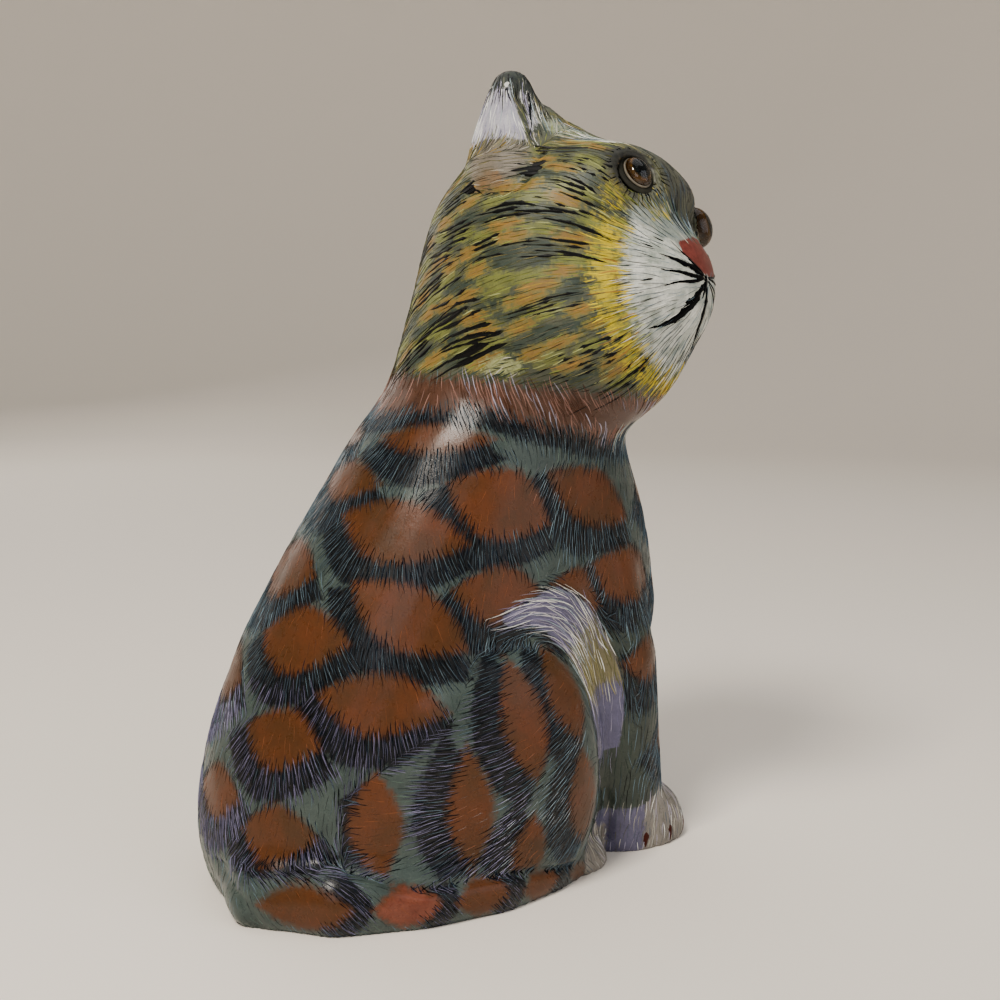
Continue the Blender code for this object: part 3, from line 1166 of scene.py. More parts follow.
@dataclass
class StrokeLayer:
    """One piece of brush strokes, each a thin closed ridge of paint on the skin.

    legs is how many straight parts a stroke has along its length, neck the height where the
    fur of the head begins, and sunk how deep a stroke's edges lie in the skin.
    """

    name: str
    skin: Carving
    rng: np.random.Generator
    sheen: Sheen = Sheen.SATIN
    legs: int = 4
    neck: float = 86.0
    sunk: float = 0.06
    strokes: list[tuple[Array, ...]] = field(default_factory=list)

    LINE_LIFT = 0.14

    def onto_skin(self, at: Array) -> tuple[Array, Array]:
        """Drops points onto the skin.

        Args:
            at: Points near it.

        Returns:
            The nearest points and the outward directions there.
        """
        found = [self.skin.tree.find_nearest(Vector(point)) for point in at]
        return np.array([hit[0] for hit in found]), np.array([hit[1] for hit in found])

    def brush_from(self, at: Array, out: Array, brush: Brush, pots: Array) -> None:
        """Lays strokes whose middles are at these places, along the fur.

        Args:
            at: The middles.
            out: The outward directions there.
            brush: The sizes.
            pots: The number of each stroke's pot.
        """
        count, rng = len(at), self.rng
        if not count:
            return
        long = rng.uniform(*brush.long, count)
        stray = np.radians(rng.normal(0, brush.stray, count))
        curl = np.radians(rng.normal(0, brush.curl, count))
        half = self.legs // 2
        line = {half: (at, out)}
        for sign, steps in ((-1, half), (1, self.legs - half)):
            here, up = at, out
            for step in range(1, steps + 1):
                way = FurLie.way(Where.of(here, up), self.neck)
                aside = np.cross(up, way)
                turn = (stray + curl * sign * step)[:, None]
                way = way * np.cos(turn) + aside * np.sin(turn)
                here, up = self.onto_skin(here + sign * way * (long / self.legs)[:, None])
                line[half + sign * step] = (here, up)
        path, up = (np.stack([line[k][part] for k in sorted(line)], 1) for part in (0, 1))
        self.add(path, up, rng.uniform(*brush.wide, count), brush.lift, pots)

    def draw(self, corners: Array, wide: float, paint: Pot) -> None:
        """Lays one stroke along a bent line.

        Args:
            corners: The line's corners, near the skin.
            wide: The stroke's width.
            paint: Its pot.
        """
        sizes = np.linalg.norm(np.diff(corners, axis=0), axis=1)
        passed = np.concatenate([[0], np.cumsum(sizes)])
        stops = np.linspace(0, passed[-1], self.legs + 1)
        path = np.stack([np.interp(stops, passed, corners[:, axis]) for axis in range(3)], 1)
        at, up = self.onto_skin(path)
        self.add(at[None], up[None], np.array([wide]), self.LINE_LIFT, pot(paint))

    def add(self, path: Array, up: Array, wide: Array, lift: float, pots: Array) -> None:
        """Keeps finished lines for the piece.

        Args:
            path: Points on the skin, a row of them a stroke.
            up: The outward directions there.
            wide: The width of each stroke.
            lift: How far the paint stands above the skin.
            pots: The number of each stroke's pot.
        """
        lifts = lift * self.rng.uniform(0.8, 1.2, len(path))
        tones = self.rng.integers(0, TONES, len(path))
        self.strokes.append((path, up, wide, lifts, pots, tones))

    def blank(self) -> bmesh.types.BMesh:
        """One plain stroke: a three-sided bar along z from 0 to 1, pointed at each end."""
        bm = bmesh.new()
        bmesh.ops.create_cone(bm, cap_ends=False, segments=3, radius1=1, radius2=1, depth=1)
        bmesh.ops.translate(bm, vec=(0, 0, 0.5), verts=bm.verts)
        long = [edge for edge in bm.edges if abs(edge.verts[0].co.z - edge.verts[1].co.z) > 0.5]
        bmesh.ops.subdivide_edges(bm, edges=long, cuts=self.legs - 1, use_grid_fill=True)
        for end in (0.0, 1.0):
            ring = [vert for vert in bm.verts if abs(vert.co.z - end) < 1e-4]
            bmesh.ops.pointmerge(bm, verts=ring, merge_co=(0, 0, end))
        bmesh.ops.recalc_face_normals(bm, faces=bm.faces)
        uv = bm.loops.layers.uv.new(MAP)
        for face in bm.faces:
            for loop in face.loops:
                corner = loop.vert.co
                loop[uv].uv = (0.5 + 0.5 * round(corner.x), corner.z)
        return bm

    @staticmethod
    def repeated(bm: bmesh.types.BMesh, count: int) -> None:
        """Copies the blank until there are count of them, in place.

        Args:
            bm: One blank, changed in place.
            count: How many are wanted.
        """
        corners, sides = len(bm.verts), len(bm.faces)
        have = 1
        while have < count:
            take = min(have, count - have)
            bm.verts.ensure_lookup_table()
            bm.faces.ensure_lookup_table()
            bmesh.ops.duplicate(bm, geom=bm.verts[: take * corners] + bm.faces[: take * sides])
            have += take

    def shaped(self, corners: Array, path: Array, up: Array, wide: Array, lift: Array) -> Array:
        """Bends a blank along each kept line.

        Args:
            corners: The blank's corners.
            path: The lines' points.
            up: The outward directions there.
            wide: The widths of the strokes.
            lift: How far each stands above the skin.

        Returns:
            The corners of every stroke, in millimetres.
        """
        way, up = unit(np.gradient(path, axis=1)), unit(up)
        aside = unit(np.cross(way, up))
        share = corners[:, 2]
        ring = np.rint(share * self.legs).astype(int)
        body = np.clip(share / 0.2, 0, 1) ** 0.7 * np.clip((1 - share) / 0.55, 0, 1) ** 0.8
        tip = (ring == 0) | (ring == self.legs)
        ridge = (corners[:, 1] > 0.5) & ~tip
        low = np.where(tip, -0.4 * self.sunk, -self.sunk)[None, :]
        high = np.where(ridge[None, :], lift[:, None] * (0.4 + 0.6 * body)[None, :], low)
        edge = (np.rint(corners[:, 0]) * body)[None, :, None] * (wide / 2)[:, None, None]
        return path[:, ring] + aside[:, ring] * edge + up[:, ring] * high[:, :, None]

    def build(self, material: bpy.types.Material) -> bpy.types.Object:
        """Shapes one blank to each kept line and makes the piece.

        Args:
            material: The paint.

        Returns:
            The piece.
        """
        *lines, pots, tones = (np.concatenate(part) for part in zip(*self.strokes))
        count = len(pots)
        bm = self.blank()
        mesh = bpy.data.meshes.new(self.name)
        bm.to_mesh(mesh)
        bm.clear()
        bm.from_mesh(mesh)
        corners = np.array([vert.co for vert in bm.verts])
        self.repeated(bm, count)
        bm.to_mesh(mesh)
        bm.free()
        at = self.shaped(corners, *lines)
        mesh.vertices.foreach_set("co", (at * MM).astype(np.float32).ravel())
        lay = mesh.uv_layers[MAP].uv
        uv = np.empty(len(lay) * 2, np.float32)
        lay.foreach_get("vector", uv)
        uv = uv.reshape(count, -1, 2)
        # Each stroke's map keeps clear of the next pot's and the next tone's share.
        uv[:, :, 0] = (pots[:, None] + 0.15 + 0.7 * uv[:, :, 0]) / len(POTS)
        uv[:, :, 1] = (tones[:, None] + 0.06 + 0.88 * uv[:, :, 1]) / TONES
        lay.foreach_set("vector", uv.ravel())
        mesh.update()
        piece = bpy.data.objects.new(self.name, mesh)
        bpy.context.scene.collection.objects.link(piece)
        return settle(piece, material)


@dataclass(frozen=True)
class HeadMark:
    """A group of black strokes: its angle back from the nose, its angle up and its strokes."""

    back: float
    up: float
    long: float
    count: int = 4
    wide: float = 0.65

    def brush(self) -> Brush:
        """The full brush that it is laid with, a little longer and wider than the mark."""
        long = (self.long * 1.1, self.long * 1.35)
        return Brush(long, (self.wide * 1.2, self.wide * 1.7), 0.13, stray=1.5)


HEAD_MARKS = tuple(
    HeadMark(*row)
    for row in (
        (61, -2, 12, 4, 0.65), (87, 14, 10, 3, 0.75), (66, 15, 12, 4, 0.6), (60, 26, 7, 4, 0.65),
        (112, 25, 11, 4, 0.62), (117, 8, 10, 4, 0.62), (97, -2, 12, 4, 0.6), (129, -3, 11, 4, 0.65),
        (132, -19, 12, 4, 0.7), (109, -28, 14, 5, 0.72), (71, -28, 11, 4, 0.5),
        (106, -43, 14, 5, 0.85), (131, -49, 12, 4, 0.75), (59, -53, 13, 6, 0.62),
        (50, -72, 12, 7, 0.5), (80, 33, 8, 3, 0.75), (60, 37, 13, 5, 0.5), (74, 45, 10, 4, 0.4),
        (148, 14, 10, 4), (150, -35, 10, 3), (124, 56, 9, 4), (146, 60, 9, 3), (102, 68, 8, 3),
        (86, -72, 9, 5, 0.5), (86, 80, 9, 3, 0.4), (106, 82, 9, 3, 0.45),
    )
)  # fmt: skip

# The lip's middle, and the black lines of the mouth and whiskers in head axes on the cat's
# right, each with its width. The wide line down from the nose is also painted shade under it.
LIP = (27.9, -0.9, -0.3)
FACE_LINES = (
    ((LIP, (27.2, -4.6, 0.9), (25.4, -7.4, 2.6), (24.2, -8.9, 4.0)), 0.9),
    ((LIP, (27.2, -4.4, 0.1), (25.2, -8.2, 0.6), (22.9, -11.0, 0.9)), 1.3),
    ((LIP, (27.3, -3.8, -1.0), (25.7, -7.2, -1.2), (23.4, -10.3, -1.8)), 1.1),
    ((LIP, (27.2, -3.9, -1.8), (25.5, -7.2, -2.9), (23.8, -9.2, -4.4)), 0.9),
    ((LIP, (27.5, -2.0, -2.8), (26.3, -3.4, -6.2), (24.3, -5.3, -8.9), (21.6, -8.6, -11.0)), 2.6),
    # Down from the nose, drawn wide: a black line that is partly painted shade under the nose and
    # mouth.
    (((28.0, -1.2, 0.4), (27.9, -0.9, -1.5), (27.6, -1.1, -4.0)), 1.6),
    (((24.2, -9.6, 3.2), (23.0, -11.3, 3.8)), 0.4),
    (((23.2, -11.2, 1.8), (21.6, -13.0, 2.2)), 0.4),
    (((23.6, -10.8, -3.4), (22.0, -12.4, -4.2)), 0.4),
)

# The dark ridge of each ear, and the white fleck behind it, in head axes.
EAR_RIDGE = ((-1.2, 14.2, 30.0), (0.0, 14.6, 27.5), (1.3, 16.0, 24.0), (2.4, 17.0, 20.6))
EAR_FLECK = ((-3.9, 17.2, 30.0), (-4.1, 17.6, 28.2))

# Where the claws of the right front paw are painted.
CLAWS = ((-16.8, -31.1, 1.8), (-15.9, -37.0, 1.8), (-12.6, -41.0, 1.8), (-7.0, -42.6, 1.8))


class Coat:
    """The brushed fur: it chooses places on the skin and lays the strokes of every part."""

    SAMPLES = 170000
    SEED = 7
    HEAD_NECK = 78.0
    LASHES = 44

    def __init__(self, skin: Carving) -> None:
        """Scatters the places that strokes may start from over the skin.

        Args:
            skin: The carved and painted skin.
        """
        self.skin = skin
        self.rng = np.random.default_rng(self.SEED)
        mesh = skin.piece.data
        mesh.calc_loop_triangles()
        corners = np.empty(len(mesh.loop_triangles) * 3, np.int32)
        mesh.loop_triangles.foreach_get("vertices", corners)
        corners = corners.reshape(-1, 3)
        at, out = skin.points_of(mesh)
        a, b, c = (at[corners[:, k]] / MM for k in range(3))
        size = np.linalg.norm(np.cross(b - a, c - a), axis=1)
        pick = self.rng.choice(len(size), self.SAMPLES, p=size / size.sum())
        s, t = self.rng.random((2, self.SAMPLES, 1))
        s, t = np.where(s + t > 1, 1 - s, s), np.where(s + t > 1, 1 - t, t)
        normals = unit(out[corners[pick]].mean(1))
        self.w = Where.of(a[pick] + s * (b - a)[pick] + t * (c - a)[pick], normals)
        self.areas = PaintPlan.all_areas(self.w)
        self.way = FurLie.way(self.w)
        self.seen = (self.w.out[:, 2] > -0.75) & (self.w.z > 0.25)

    def on(self, **edges: float | Array) -> Array:
        """Samples that lie more than so many millimetres inside each named area."""
        return np.all([self.areas[name] > edge for name, edge in edges.items()], 0)

    def off(self, **edges: float | Array) -> Array:
        """Samples that lie less than so many millimetres inside each named area."""
        return np.all([self.areas[name] < edge for name, edge in edges.items()], 0)

    def on_body(self) -> Array:
        """Fur below the neck that isn't crest, paw or collar."""
        return self.off(lilac=0, white=0, head=0, collar=0.5)

    def drawn(self, *paints: Pot) -> Array:
        """One of these pots for each sample, by chance."""
        return self.rng.choice(pot(*paints), len(self.w.z))

    def chosen(self, wanted: Array, brush: Brush) -> Array:
        """Picks evenly combed places.

        Args:
            wanted: The share of places wanted at each sample, 0 to 1.
            brush: Its gaps beside and behind a stroke keep neighbours apart.

        Returns:
            The numbers of the samples picked.
        """
        live = np.nonzero(self.seen & (self.rng.random(len(wanted)) < wanted))[0]
        self.rng.shuffle(live)
        at, way = self.w.at[live], self.way[live]
        tree = tree_of(at)
        free = np.ones(len(live), bool)
        kept = []
        far = max(brush.beside, brush.behind)
        for number in range(len(live)):
            if not free[number]:
                continue
            kept.append(number)
            near = np.array([found[1] for found in tree.find_range(at[number], far)])
            gap = at[near] - at[number]
            along = gap @ way[number]
            across = np.sqrt(np.maximum(np.sum(gap**2, 1) - along**2, 0))
            free[near[(along / brush.behind) ** 2 + (across / brush.beside) ** 2 < 1]] = False
        return live[kept]

    def comb(
        self,
        layer: StrokeLayer,
        where: Array,
        brush: Brush,
        paints: tuple[Pot, ...] | Array,
        share: float = 1.0,
    ) -> None:
        """Lays a brush's strokes over an area.

        Args:
            layer: The piece that takes them.
            where: The samples that it covers.
            brush: The kind of stroke.
            paints: Pots to draw from, or one pot's number for each sample.
            share: The share of those samples wanted.
        """
        picked = self.chosen(where * share, brush)
        if isinstance(paints, tuple):
            pots = self.rng.choice(pot(*paints), len(picked))
        else:
            pots = paints[picked]
        layer.brush_from(self.w.at[picked], self.w.out[picked], brush, pots)

    def tufts(
        self, layer: StrokeLayer, picked: Array, pots: Array, gap: float, brush: Brush
    ) -> None:
        """Lays small groups of strokes side by side.

        Args:
            layer: The piece that takes them.
            picked: The samples at the middles of the groups.
            pots: One row of pots for each group, a pot a stroke.
            gap: From one stroke of a group to the next.
            brush: The kind of stroke.
        """
        at, out, way = self.w.at[picked], self.w.out[picked], self.way[picked]
        aside = np.cross(out, way)
        count = pots.shape[1]
        for number in range(count):
            across = (number - (count - 1) / 2) * gap
            shift = self.rng.normal(0, 0.12 * brush.long[0], len(picked))
            here, up = layer.onto_skin(at + aside * across + way * shift[:, None])
            layer.brush_from(here, up, brush, pots[:, number])

    def patches(self) -> dict[str, Array]:
        """Paints soft streaks of ochre, lime and grey-green on the skin of the head.

        Returns:
            The same areas at the samples.
        """
        bare = self.off(ear_root=0, forehead=-1.5, temple=-2.0, yellow=0, muzzle=0)
        lowest = np.where(self.w.turn > 60, 2.6, 0.8)
        cheek = self.on(head=lowest) & bare & (Region.ear(self.w) < 1)
        picked = self.chosen(cheek * 1.0, Brush((0, 0), (0, 0), 0, 1.8, 5.0))
        at, out = self.w.at[picked], self.w.out[picked]
        way = FurLie.way(Where.of(at, out), self.HEAD_NECK)
        # Each streak takes the colour that its four neighbours have least of.
        ochre, lime, dark = range(3)
        kind = np.zeros(len(picked), int)
        for number in range(1, len(picked)):
            near = np.argsort(np.linalg.norm(at[:number] - at[number], axis=1))[:4]
            crowd = np.bincount(kind[near], minlength=3) + self.rng.uniform(0, 0.9, 3)
            kind[number] = np.argmin(crowd + (0.0, 0.5, -0.4))
        long = self.rng.uniform(2.6, 4.2, len(picked))
        wide = self.rng.uniform(0.95, 1.35, len(picked))
        # Lime lies under the ochre too, and shows round it.
        layers = {
            "dark": (kind == dark, 0.0),
            "lime": (kind <= lime, 0.0),
            "ochre": (kind == ochre, 0.35),
        }

        def spread(places: Array) -> dict[str, Array]:
            """The areas at these places."""
            best = {name: np.full(len(places), FAR) for name in layers}
            near = np.nonzero(places[:, 2] > Region.HEAD_HEIGHT)[0]
            for rows in np.array_split(near, max(len(near) // 3000, 1)):
                gap = places[rows][:, None] - at[None]
                along = np.sum(gap * way[None], axis=2)
                across = np.sqrt(np.maximum(np.sum(gap**2, axis=2) - along**2, 0))
                inside = (1 - np.hypot(along / long, across / wide)) * 1.6
                for name, (mine, less) in layers.items():
                    best[name][rows] = np.where(mine, inside - less, FAR).max(1)
            return best

        mesh = self.skin.piece.data
        set_areas(mesh, spread(self.skin.points_of(mesh)[0] / MM))
        return spread(self.w.at)

    def dark_fur(self) -> StrokeLayer:
        """Black strokes in the bands and round the edges of the spots."""
        dark = StrokeLayer("dark_fur", self.skin, self.rng, Sheen.DEEP)
        paints = (Pot.BLACK, Pot.BLUE_BLACK, Pot.BLUE_BLACK, Pot.NAVY)
        inside = self.on(band=-0.8) & self.off(rust=0.1) & self.on_body()
        self.comb(dark, inside, Brush((2.8, 4.3), (0.36, 0.55), 0.035, 0.52, 1.6, 5), paints)
        rim = self.on(band=-0.4, rust=-1.1) & self.off(rust=0.7) & self.on_body()
        self.comb(dark, rim, Brush((3.0, 4.4), (0.28, 0.42), 0.04, 0.6, 1.3, 5), paints)
        return dark

    def pale_fur(self) -> StrokeLayer:
        """Fine steel-grey hairs combed over the bands, and lilac ones low on the back."""
        pale = StrokeLayer("pale_fur", self.skin, self.rng)
        z = self.w.z
        inside = self.on(band=-0.7) & self.off(rust=-0.4) & self.on_body()
        mixed = self.drawn(Pot.STEEL, Pot.SLATE, Pot.STEEL, Pot.SLATE, Pot.BLUE_GREY)
        warm = self.drawn(Pot.DUSK, Pot.STEEL, Pot.LILAC, Pot.DUSK)
        mixed = np.where((z < 36) & (self.w.y > 0), warm, mixed)
        self.comb(pale, inside, Brush((3.4, 5.2), (0.13, 0.2), 0.08, 0.42, 2.3, 2.5, 1.5), mixed)
        rear = inside & (z < 32) & (self.w.turn > 110)
        fine = Brush((3.4, 5.0), (0.13, 0.2), 0.1, 0.8, 2.8, 3, 1.5)
        self.comb(pale, rear, fine, (Pot.LILAC, Pot.DUSK), 0.5)
        return pale

    def ground_fur(self) -> StrokeLayer:
        """Green-grey hairs on the bare ground and the legs, and brown ones in the spots."""
        ground = StrokeLayer("ground_fur", self.skin, self.rng)
        bare = self.off(band=-0.4, rust=-0.3, leg=0) & self.on_body()
        paints = (Pot.SAGE, Pot.DARK_SAGE, Pot.BLUE_GREY, Pot.BLUE_BLACK, Pot.BLUE_BLACK)
        self.comb(ground, bare, Brush((2.5, 3.8), (0.14, 0.22), 0.05, 0.75, 2.4, 5), paints, 0.9)
        leg = self.on(leg=0) & self.off(rust=-0.3) & self.on_body()
        paints = (Pot.SLATE, Pot.BLACK, Pot.DARK_SAGE, Pot.BLUE_GREY)
        self.comb(ground, leg, Brush((4.5, 7.0), (0.2, 0.3), 0.07, 0.7, 3.6, 4), paints)
        spots = self.on(rust=1.0) & self.on_body()
        brush = Brush((2.5, 4.5), (0.12, 0.2), 0.03, 1.0, 3.0, 6)
        self.comb(ground, spots, brush, (Pot.RUST, Pot.BROWN), 0.5)
        return ground

    def head_streaks(self) -> StrokeLayer:
        """Streaks of ochre, lime and grey-green over the head, and of yellow in the ruff."""
        streaks = StrokeLayer("head_streaks", self.skin, self.rng, Sheen.DULL, neck=self.HEAD_NECK)
        cheek = self.on(head=0.0) & (Region.ear(self.w) < 1)
        cheek &= self.off(muzzle=-1, eye=-0.3, yellow=0.5, brow=0.3, cheek=0, forehead=0)
        cheek &= self.off(ear_root=0.2, temple=0.3)
        patches = self.patches()
        paints = self.drawn(Pot.GREY, Pot.MOSS, Pot.GREY, Pot.OLIVE, Pot.DARK_SAGE)
        for name, mix in (
            ("dark", (Pot.MOSS, Pot.MOSS, Pot.GREY)),
            ("lime", (Pot.LIME, Pot.OLIVE, Pot.LIME, Pot.PALE_LIME)),
            ("ochre", (Pot.OCHRE, Pot.OCHRE, Pot.ORANGE)),
        ):
            paints = np.where(patches[name] > 0, self.drawn(*mix), paints)
        self.comb(streaks, cheek, Brush((2.8, 4.8), (0.3, 0.5), 0.05, 0.55, 2.0, 3, 1.5), paints)
        ring = self.on(yellow=-0.8) & self.off(eye=-0.2)
        rest = (Pot.PALE_LIME, Pot.LIME, Pot.OLIVE, Pot.ORANGE, Pot.MOSS)
        bright = self.drawn(*[Pot.YELLOW] * 5, *rest)
        dull = self.drawn(Pot.LIME, Pot.PALE_LIME, Pot.YELLOW, Pot.OLIVE, Pot.GREY)
        paints = np.where(self.w.up_face > 16, dull, bright)
        self.comb(streaks, ring, Brush((2.4, 5.5), (0.26, 0.5), 0.06, 0.5, 1.9, 6), paints)
        return streaks

    def head_hairs(self) -> StrokeLayer:
        """Fine hairs over the head, each part in its own mix."""
        hairs = StrokeLayer("head_hairs", self.skin, self.rng, Sheen.DULL, neck=self.HEAD_NECK)
        w, areas = self.w, self.areas
        beside_eye = (np.abs(w.from_nose - 44) < 7) & (np.abs(w.up_face - 30) < 13)
        furry = self.on(head=0.0) & self.off(muzzle=-1, eye=-0.3, forehead=0.3)
        for where, brush, paints in (
            (
                beside_eye & self.off(eye=-0.2),
                Brush((3.5, 6.5), (0.18, 0.3), 0.09, 0.42, 2.6, 3, 2),
                (Pot.OLIVE, Pot.LIME, Pot.GREY, Pot.STRAW, Pot.MOSS, Pot.BLUE_BLACK),
            ),
            (
                self.on(temple=-0.5) & self.off(eye=0.2, forehead=0),
                Brush((2.4, 4.4), (0.16, 0.28), 0.06, 0.5, 2.0, 6),
                (Pot.GREY, Pot.STRAW, Pot.GREY, Pot.MOSS, Pot.OLIVE),
            ),
            (
                (furry & (Region.ear(w) < 1)) * 0.9,
                Brush((3.5, 6.5), (0.13, 0.2), 0.09, 0.7, 3.2, 2.5, 1.5),
                (Pot.MOSS, Pot.OLIVE, Pot.STRAW, *[Pot.BLUE_BLACK] * 2, Pot.OLIVE),
            ),
            (
                self.on(forehead=-0.5) & self.off(eye=0),
                Brush((3.5, 6.0), (0.14, 0.24), 0.07, 0.55, 2.6, 3),
                (Pot.BLUE_BLACK, Pot.GREY, Pot.SLATE, Pot.GREY),
            ),
            (
                self.on(cheek=-0.3),
                Brush((2.0, 3.6), (0.24, 0.4), 0.09, 0.5, 1.8, 12),
                (Pot.PALE_LIME, Pot.BONE, Pot.LIME, Pot.PALE_LIME, Pot.DARK_SAGE),
            ),
            # Pale hairs at the root of the ear, part of its painted sheen.
            (
                self.on(ear_root=-0.4),
                Brush((3.0, 5.0), (0.16, 0.26), 0.06, 0.6, 2.4, 4),
                (Pot.GREY, Pot.STRAW, Pot.BONE, Pot.DARK_SAGE, Pot.OLIVE),
            ),
            # The brow streak's pale hairs, partly a painted sheen along the top of the head.
            (
                self.on(brow=-0.6, head=1),
                Brush((5.0, 9.0), (0.16, 0.26), 0.1, 0.42, 2.6, 4),
                (Pot.WHITE, Pot.PALE_LIME, Pot.ICE, Pot.SAGE, Pot.BONE, Pot.SLATE),
            ),
        ):
            self.comb(hairs, where, brush, paints)
        muzzle = self.on(muzzle=-0.5) & self.off(nose=-0.2, eye=0)
        soft = (Pot.ICE, Pot.BONE, Pot.BLUE_GREY, Pot.SLATE, Pot.SAGE, Pot.ICE)
        cold = (Pot.ICE, Pot.BLUE_GREY, Pot.SLATE, Pot.BLACK)
        grey, white = self.drawn(*soft), self.drawn(Pot.WHITE, Pot.WHITE, Pot.BONE, *cold)
        paints = np.where(areas["snout"] > 0, grey, white)
        self.comb(hairs, muzzle, Brush((2.6, 4.4), (0.16, 0.26), 0.06, 0.5, 1.9, 5), paints)
        rim = muzzle & self.off(muzzle=5.5)
        paints = (Pot.SLATE, Pot.BLACK, Pot.SLATE, Pot.DARK_SAGE)
        self.comb(hairs, rim, Brush((4.0, 7.5), (0.12, 0.2), 0.1, 0.75, 3.4, 4, 3), paints)
        border = (np.abs(areas["muzzle"]) < 1.2) & self.off(eye=0) & (w.up_face < 18)
        paints = (Pot.YELLOW, Pot.PALE_LIME, Pot.WHITE)
        self.comb(hairs, border, Brush((2.5, 4.5), (0.18, 0.3), 0.1, 0.6, 2.4, 5), paints, 0.7)
        return hairs

    def head_marks(self) -> StrokeLayer:
        """The groups of black strokes on the cheeks and the back of the head."""
        marks = StrokeLayer("head_marks", self.skin, self.rng, Sheen.DULL, neck=self.HEAD_NECK)
        samples = tree_of(self.w.at)
        middle = HEAD.out_of(np.zeros(3))
        for mark in HEAD_MARKS:
            theta, phi = math.radians(mark.back), math.radians(mark.up)
            spread = math.sin(theta)
            for side in (-1, 1):
                aside, high = side * spread * math.cos(phi), spread * math.sin(phi)
                way = HEAD.out_of(np.array([math.cos(theta), aside, high])) - middle
                hit = self.skin.tree.ray_cast(Vector(middle), Vector(way))[0]
                if hit.z < Region.HEAD_HEIGHT + 2:
                    continue
                picked = np.array([samples.find(hit)[1]])
                pots = np.repeat(pot(Pot.BLACK)[None], mark.count, axis=1)
                self.tufts(marks, picked, pots, mark.wide * 1.35, mark.brush())
        return marks

    def ear_hairs(self) -> StrokeLayer:
        """White and lilac hair on the backs of the ears, dark at the tips."""
        ears = StrokeLayer("ear_hairs", self.skin, self.rng)
        w = self.w
        ear = Region.ear(w) > -0.5
        paints = (Pot.WHITE, Pot.WHITE, Pot.MAUVE, Pot.LILAC, Pot.ICE)
        brush = Brush((3.5, 6.0), (0.2, 0.34), 0.05, 0.38, 2.4, 4)
        self.comb(ears, self.on(ear_back=0), brush, paints)
        dark = ear & self.on(ear_tip=-1.8)
        paints = (Pot.BLACK, Pot.BLUE_BLACK, Pot.BLACK, Pot.GREY)
        self.comb(ears, dark, Brush((3.5, 6.5), (0.3, 0.5), 0.08, 0.55, 2.2, 4), paints, 0.8)
        spikes = self.on(ear_back=-0.4) & (np.abs(self.areas["ear_tip"] + 2.0) < 1.4)
        brush = Brush((4.0, 6.5), (0.26, 0.42), 0.1, 0.85, 3.0, 3)
        self.comb(ears, spikes, brush, (Pot.BLACK, Pot.BLUE_BLACK), 0.8)
        rest = ear & self.off(ear_back=0, ear_tip=0)
        some = (Pot.OLIVE, Pot.STRAW, Pot.GREY)
        paints = (*some, Pot.BLUE_BLACK, Pot.LIME, Pot.DARK_SAGE)
        self.comb(ears, rest, Brush((3.0, 5.5), (0.2, 0.34), 0.05, 0.5, 2.6, 5), paints)
        band = (np.abs(w.face[:, 2] - 17.2) < 1.4) & (w.face_out[:, 1] > 0.2) & (w.face[:, 0] < 3)
        paints = (Pot.OCHRE, Pot.BONE, Pot.STRAW, Pot.GREY)
        self.comb(ears, band, Brush((2.0, 3.6), (0.25, 0.35), 0.09, 0.55, 1.6, 5), paints)
        return ears

    def crest_hairs(self) -> StrokeLayer:
        """The plumes over the haunches, the hair of the collar and the lines on the paws."""
        plumes = StrokeLayer("crest_hairs", self.skin, self.rng, legs=6)
        crest, share, _ = Region.crest(self.w)
        turn = self.w.turn
        collar = self.on(collar=0.3) & self.off(collar=4.5, head=0.6)
        toes = most(self.areas["white"], Region.front_paw(self.w)) > 0
        for where, brush, paints in (
            (
                (crest > -0.6) & (share > 0.0) & (share < 0.5),
                Brush((7.0, 11.0), (0.24, 0.38), 0.06, 0.45, 3.0, 4),
                (Pot.WHITE, Pot.MAUVE, Pot.ICE, Pot.LILAC, Pot.WHITE),
            ),
            (
                (crest > -0.8) & (share < 0.22) & (self.w.across > 12),
                Brush((7.0, 10.0), (0.16, 0.24), 0.1, 0.7, 3.0, 6, 1.5),
                (Pot.WHITE, Pot.MAUVE),
            ),
            (
                (crest > -0.2) & (share > 0.36) & (share < 0.72),
                Brush((5.0, 8.0), (0.24, 0.38), 0.06, 0.5, 3.2, 4),
                (Pot.STRAW, Pot.BONE, Pot.STRAW, Pot.OLIVE, Pot.WHITE),
            ),
            (
                ((crest > 0.0) & (share > 0.7)) * 0.6,
                Brush((4.0, 7.0), (0.16, 0.22), 0.06, 0.9, 3.4, 4),
                (Pot.LILAC, Pot.MAUVE),
            ),
            (
                collar & (turn > 50) & (turn < 135),
                Brush((4.0, 6.5), (0.2, 0.3), 0.1, 0.4, 3.0, 3),
                (*[Pot.PINK] * 3, Pot.MAUVE, Pot.BROWN),
            ),
            (
                collar & (turn <= 50),
                Brush((6.0, 9.0), (0.16, 0.28), 0.1, 0.7, 4.0, 3, 3),
                (Pot.ICE, Pot.BONE, Pot.SLATE, Pot.PINK),
            ),
            (
                (collar & (turn >= 135)) * 0.8,
                Brush((3.0, 5.0), (0.18, 0.28), 0.08, 0.9, 3.4, 4),
                (Pot.PINK, Pot.BROWN),
            ),
            (
                toes,
                Brush((2.5, 5.0), (0.18, 0.3), 0.06, 0.6, 2.6, 6),
                (Pot.WHITE, Pot.BONE, Pot.SLATE, Pot.MAUVE, Pot.GREY),
            ),
        ):
            self.comb(plumes, where, brush, paints)
        return plumes

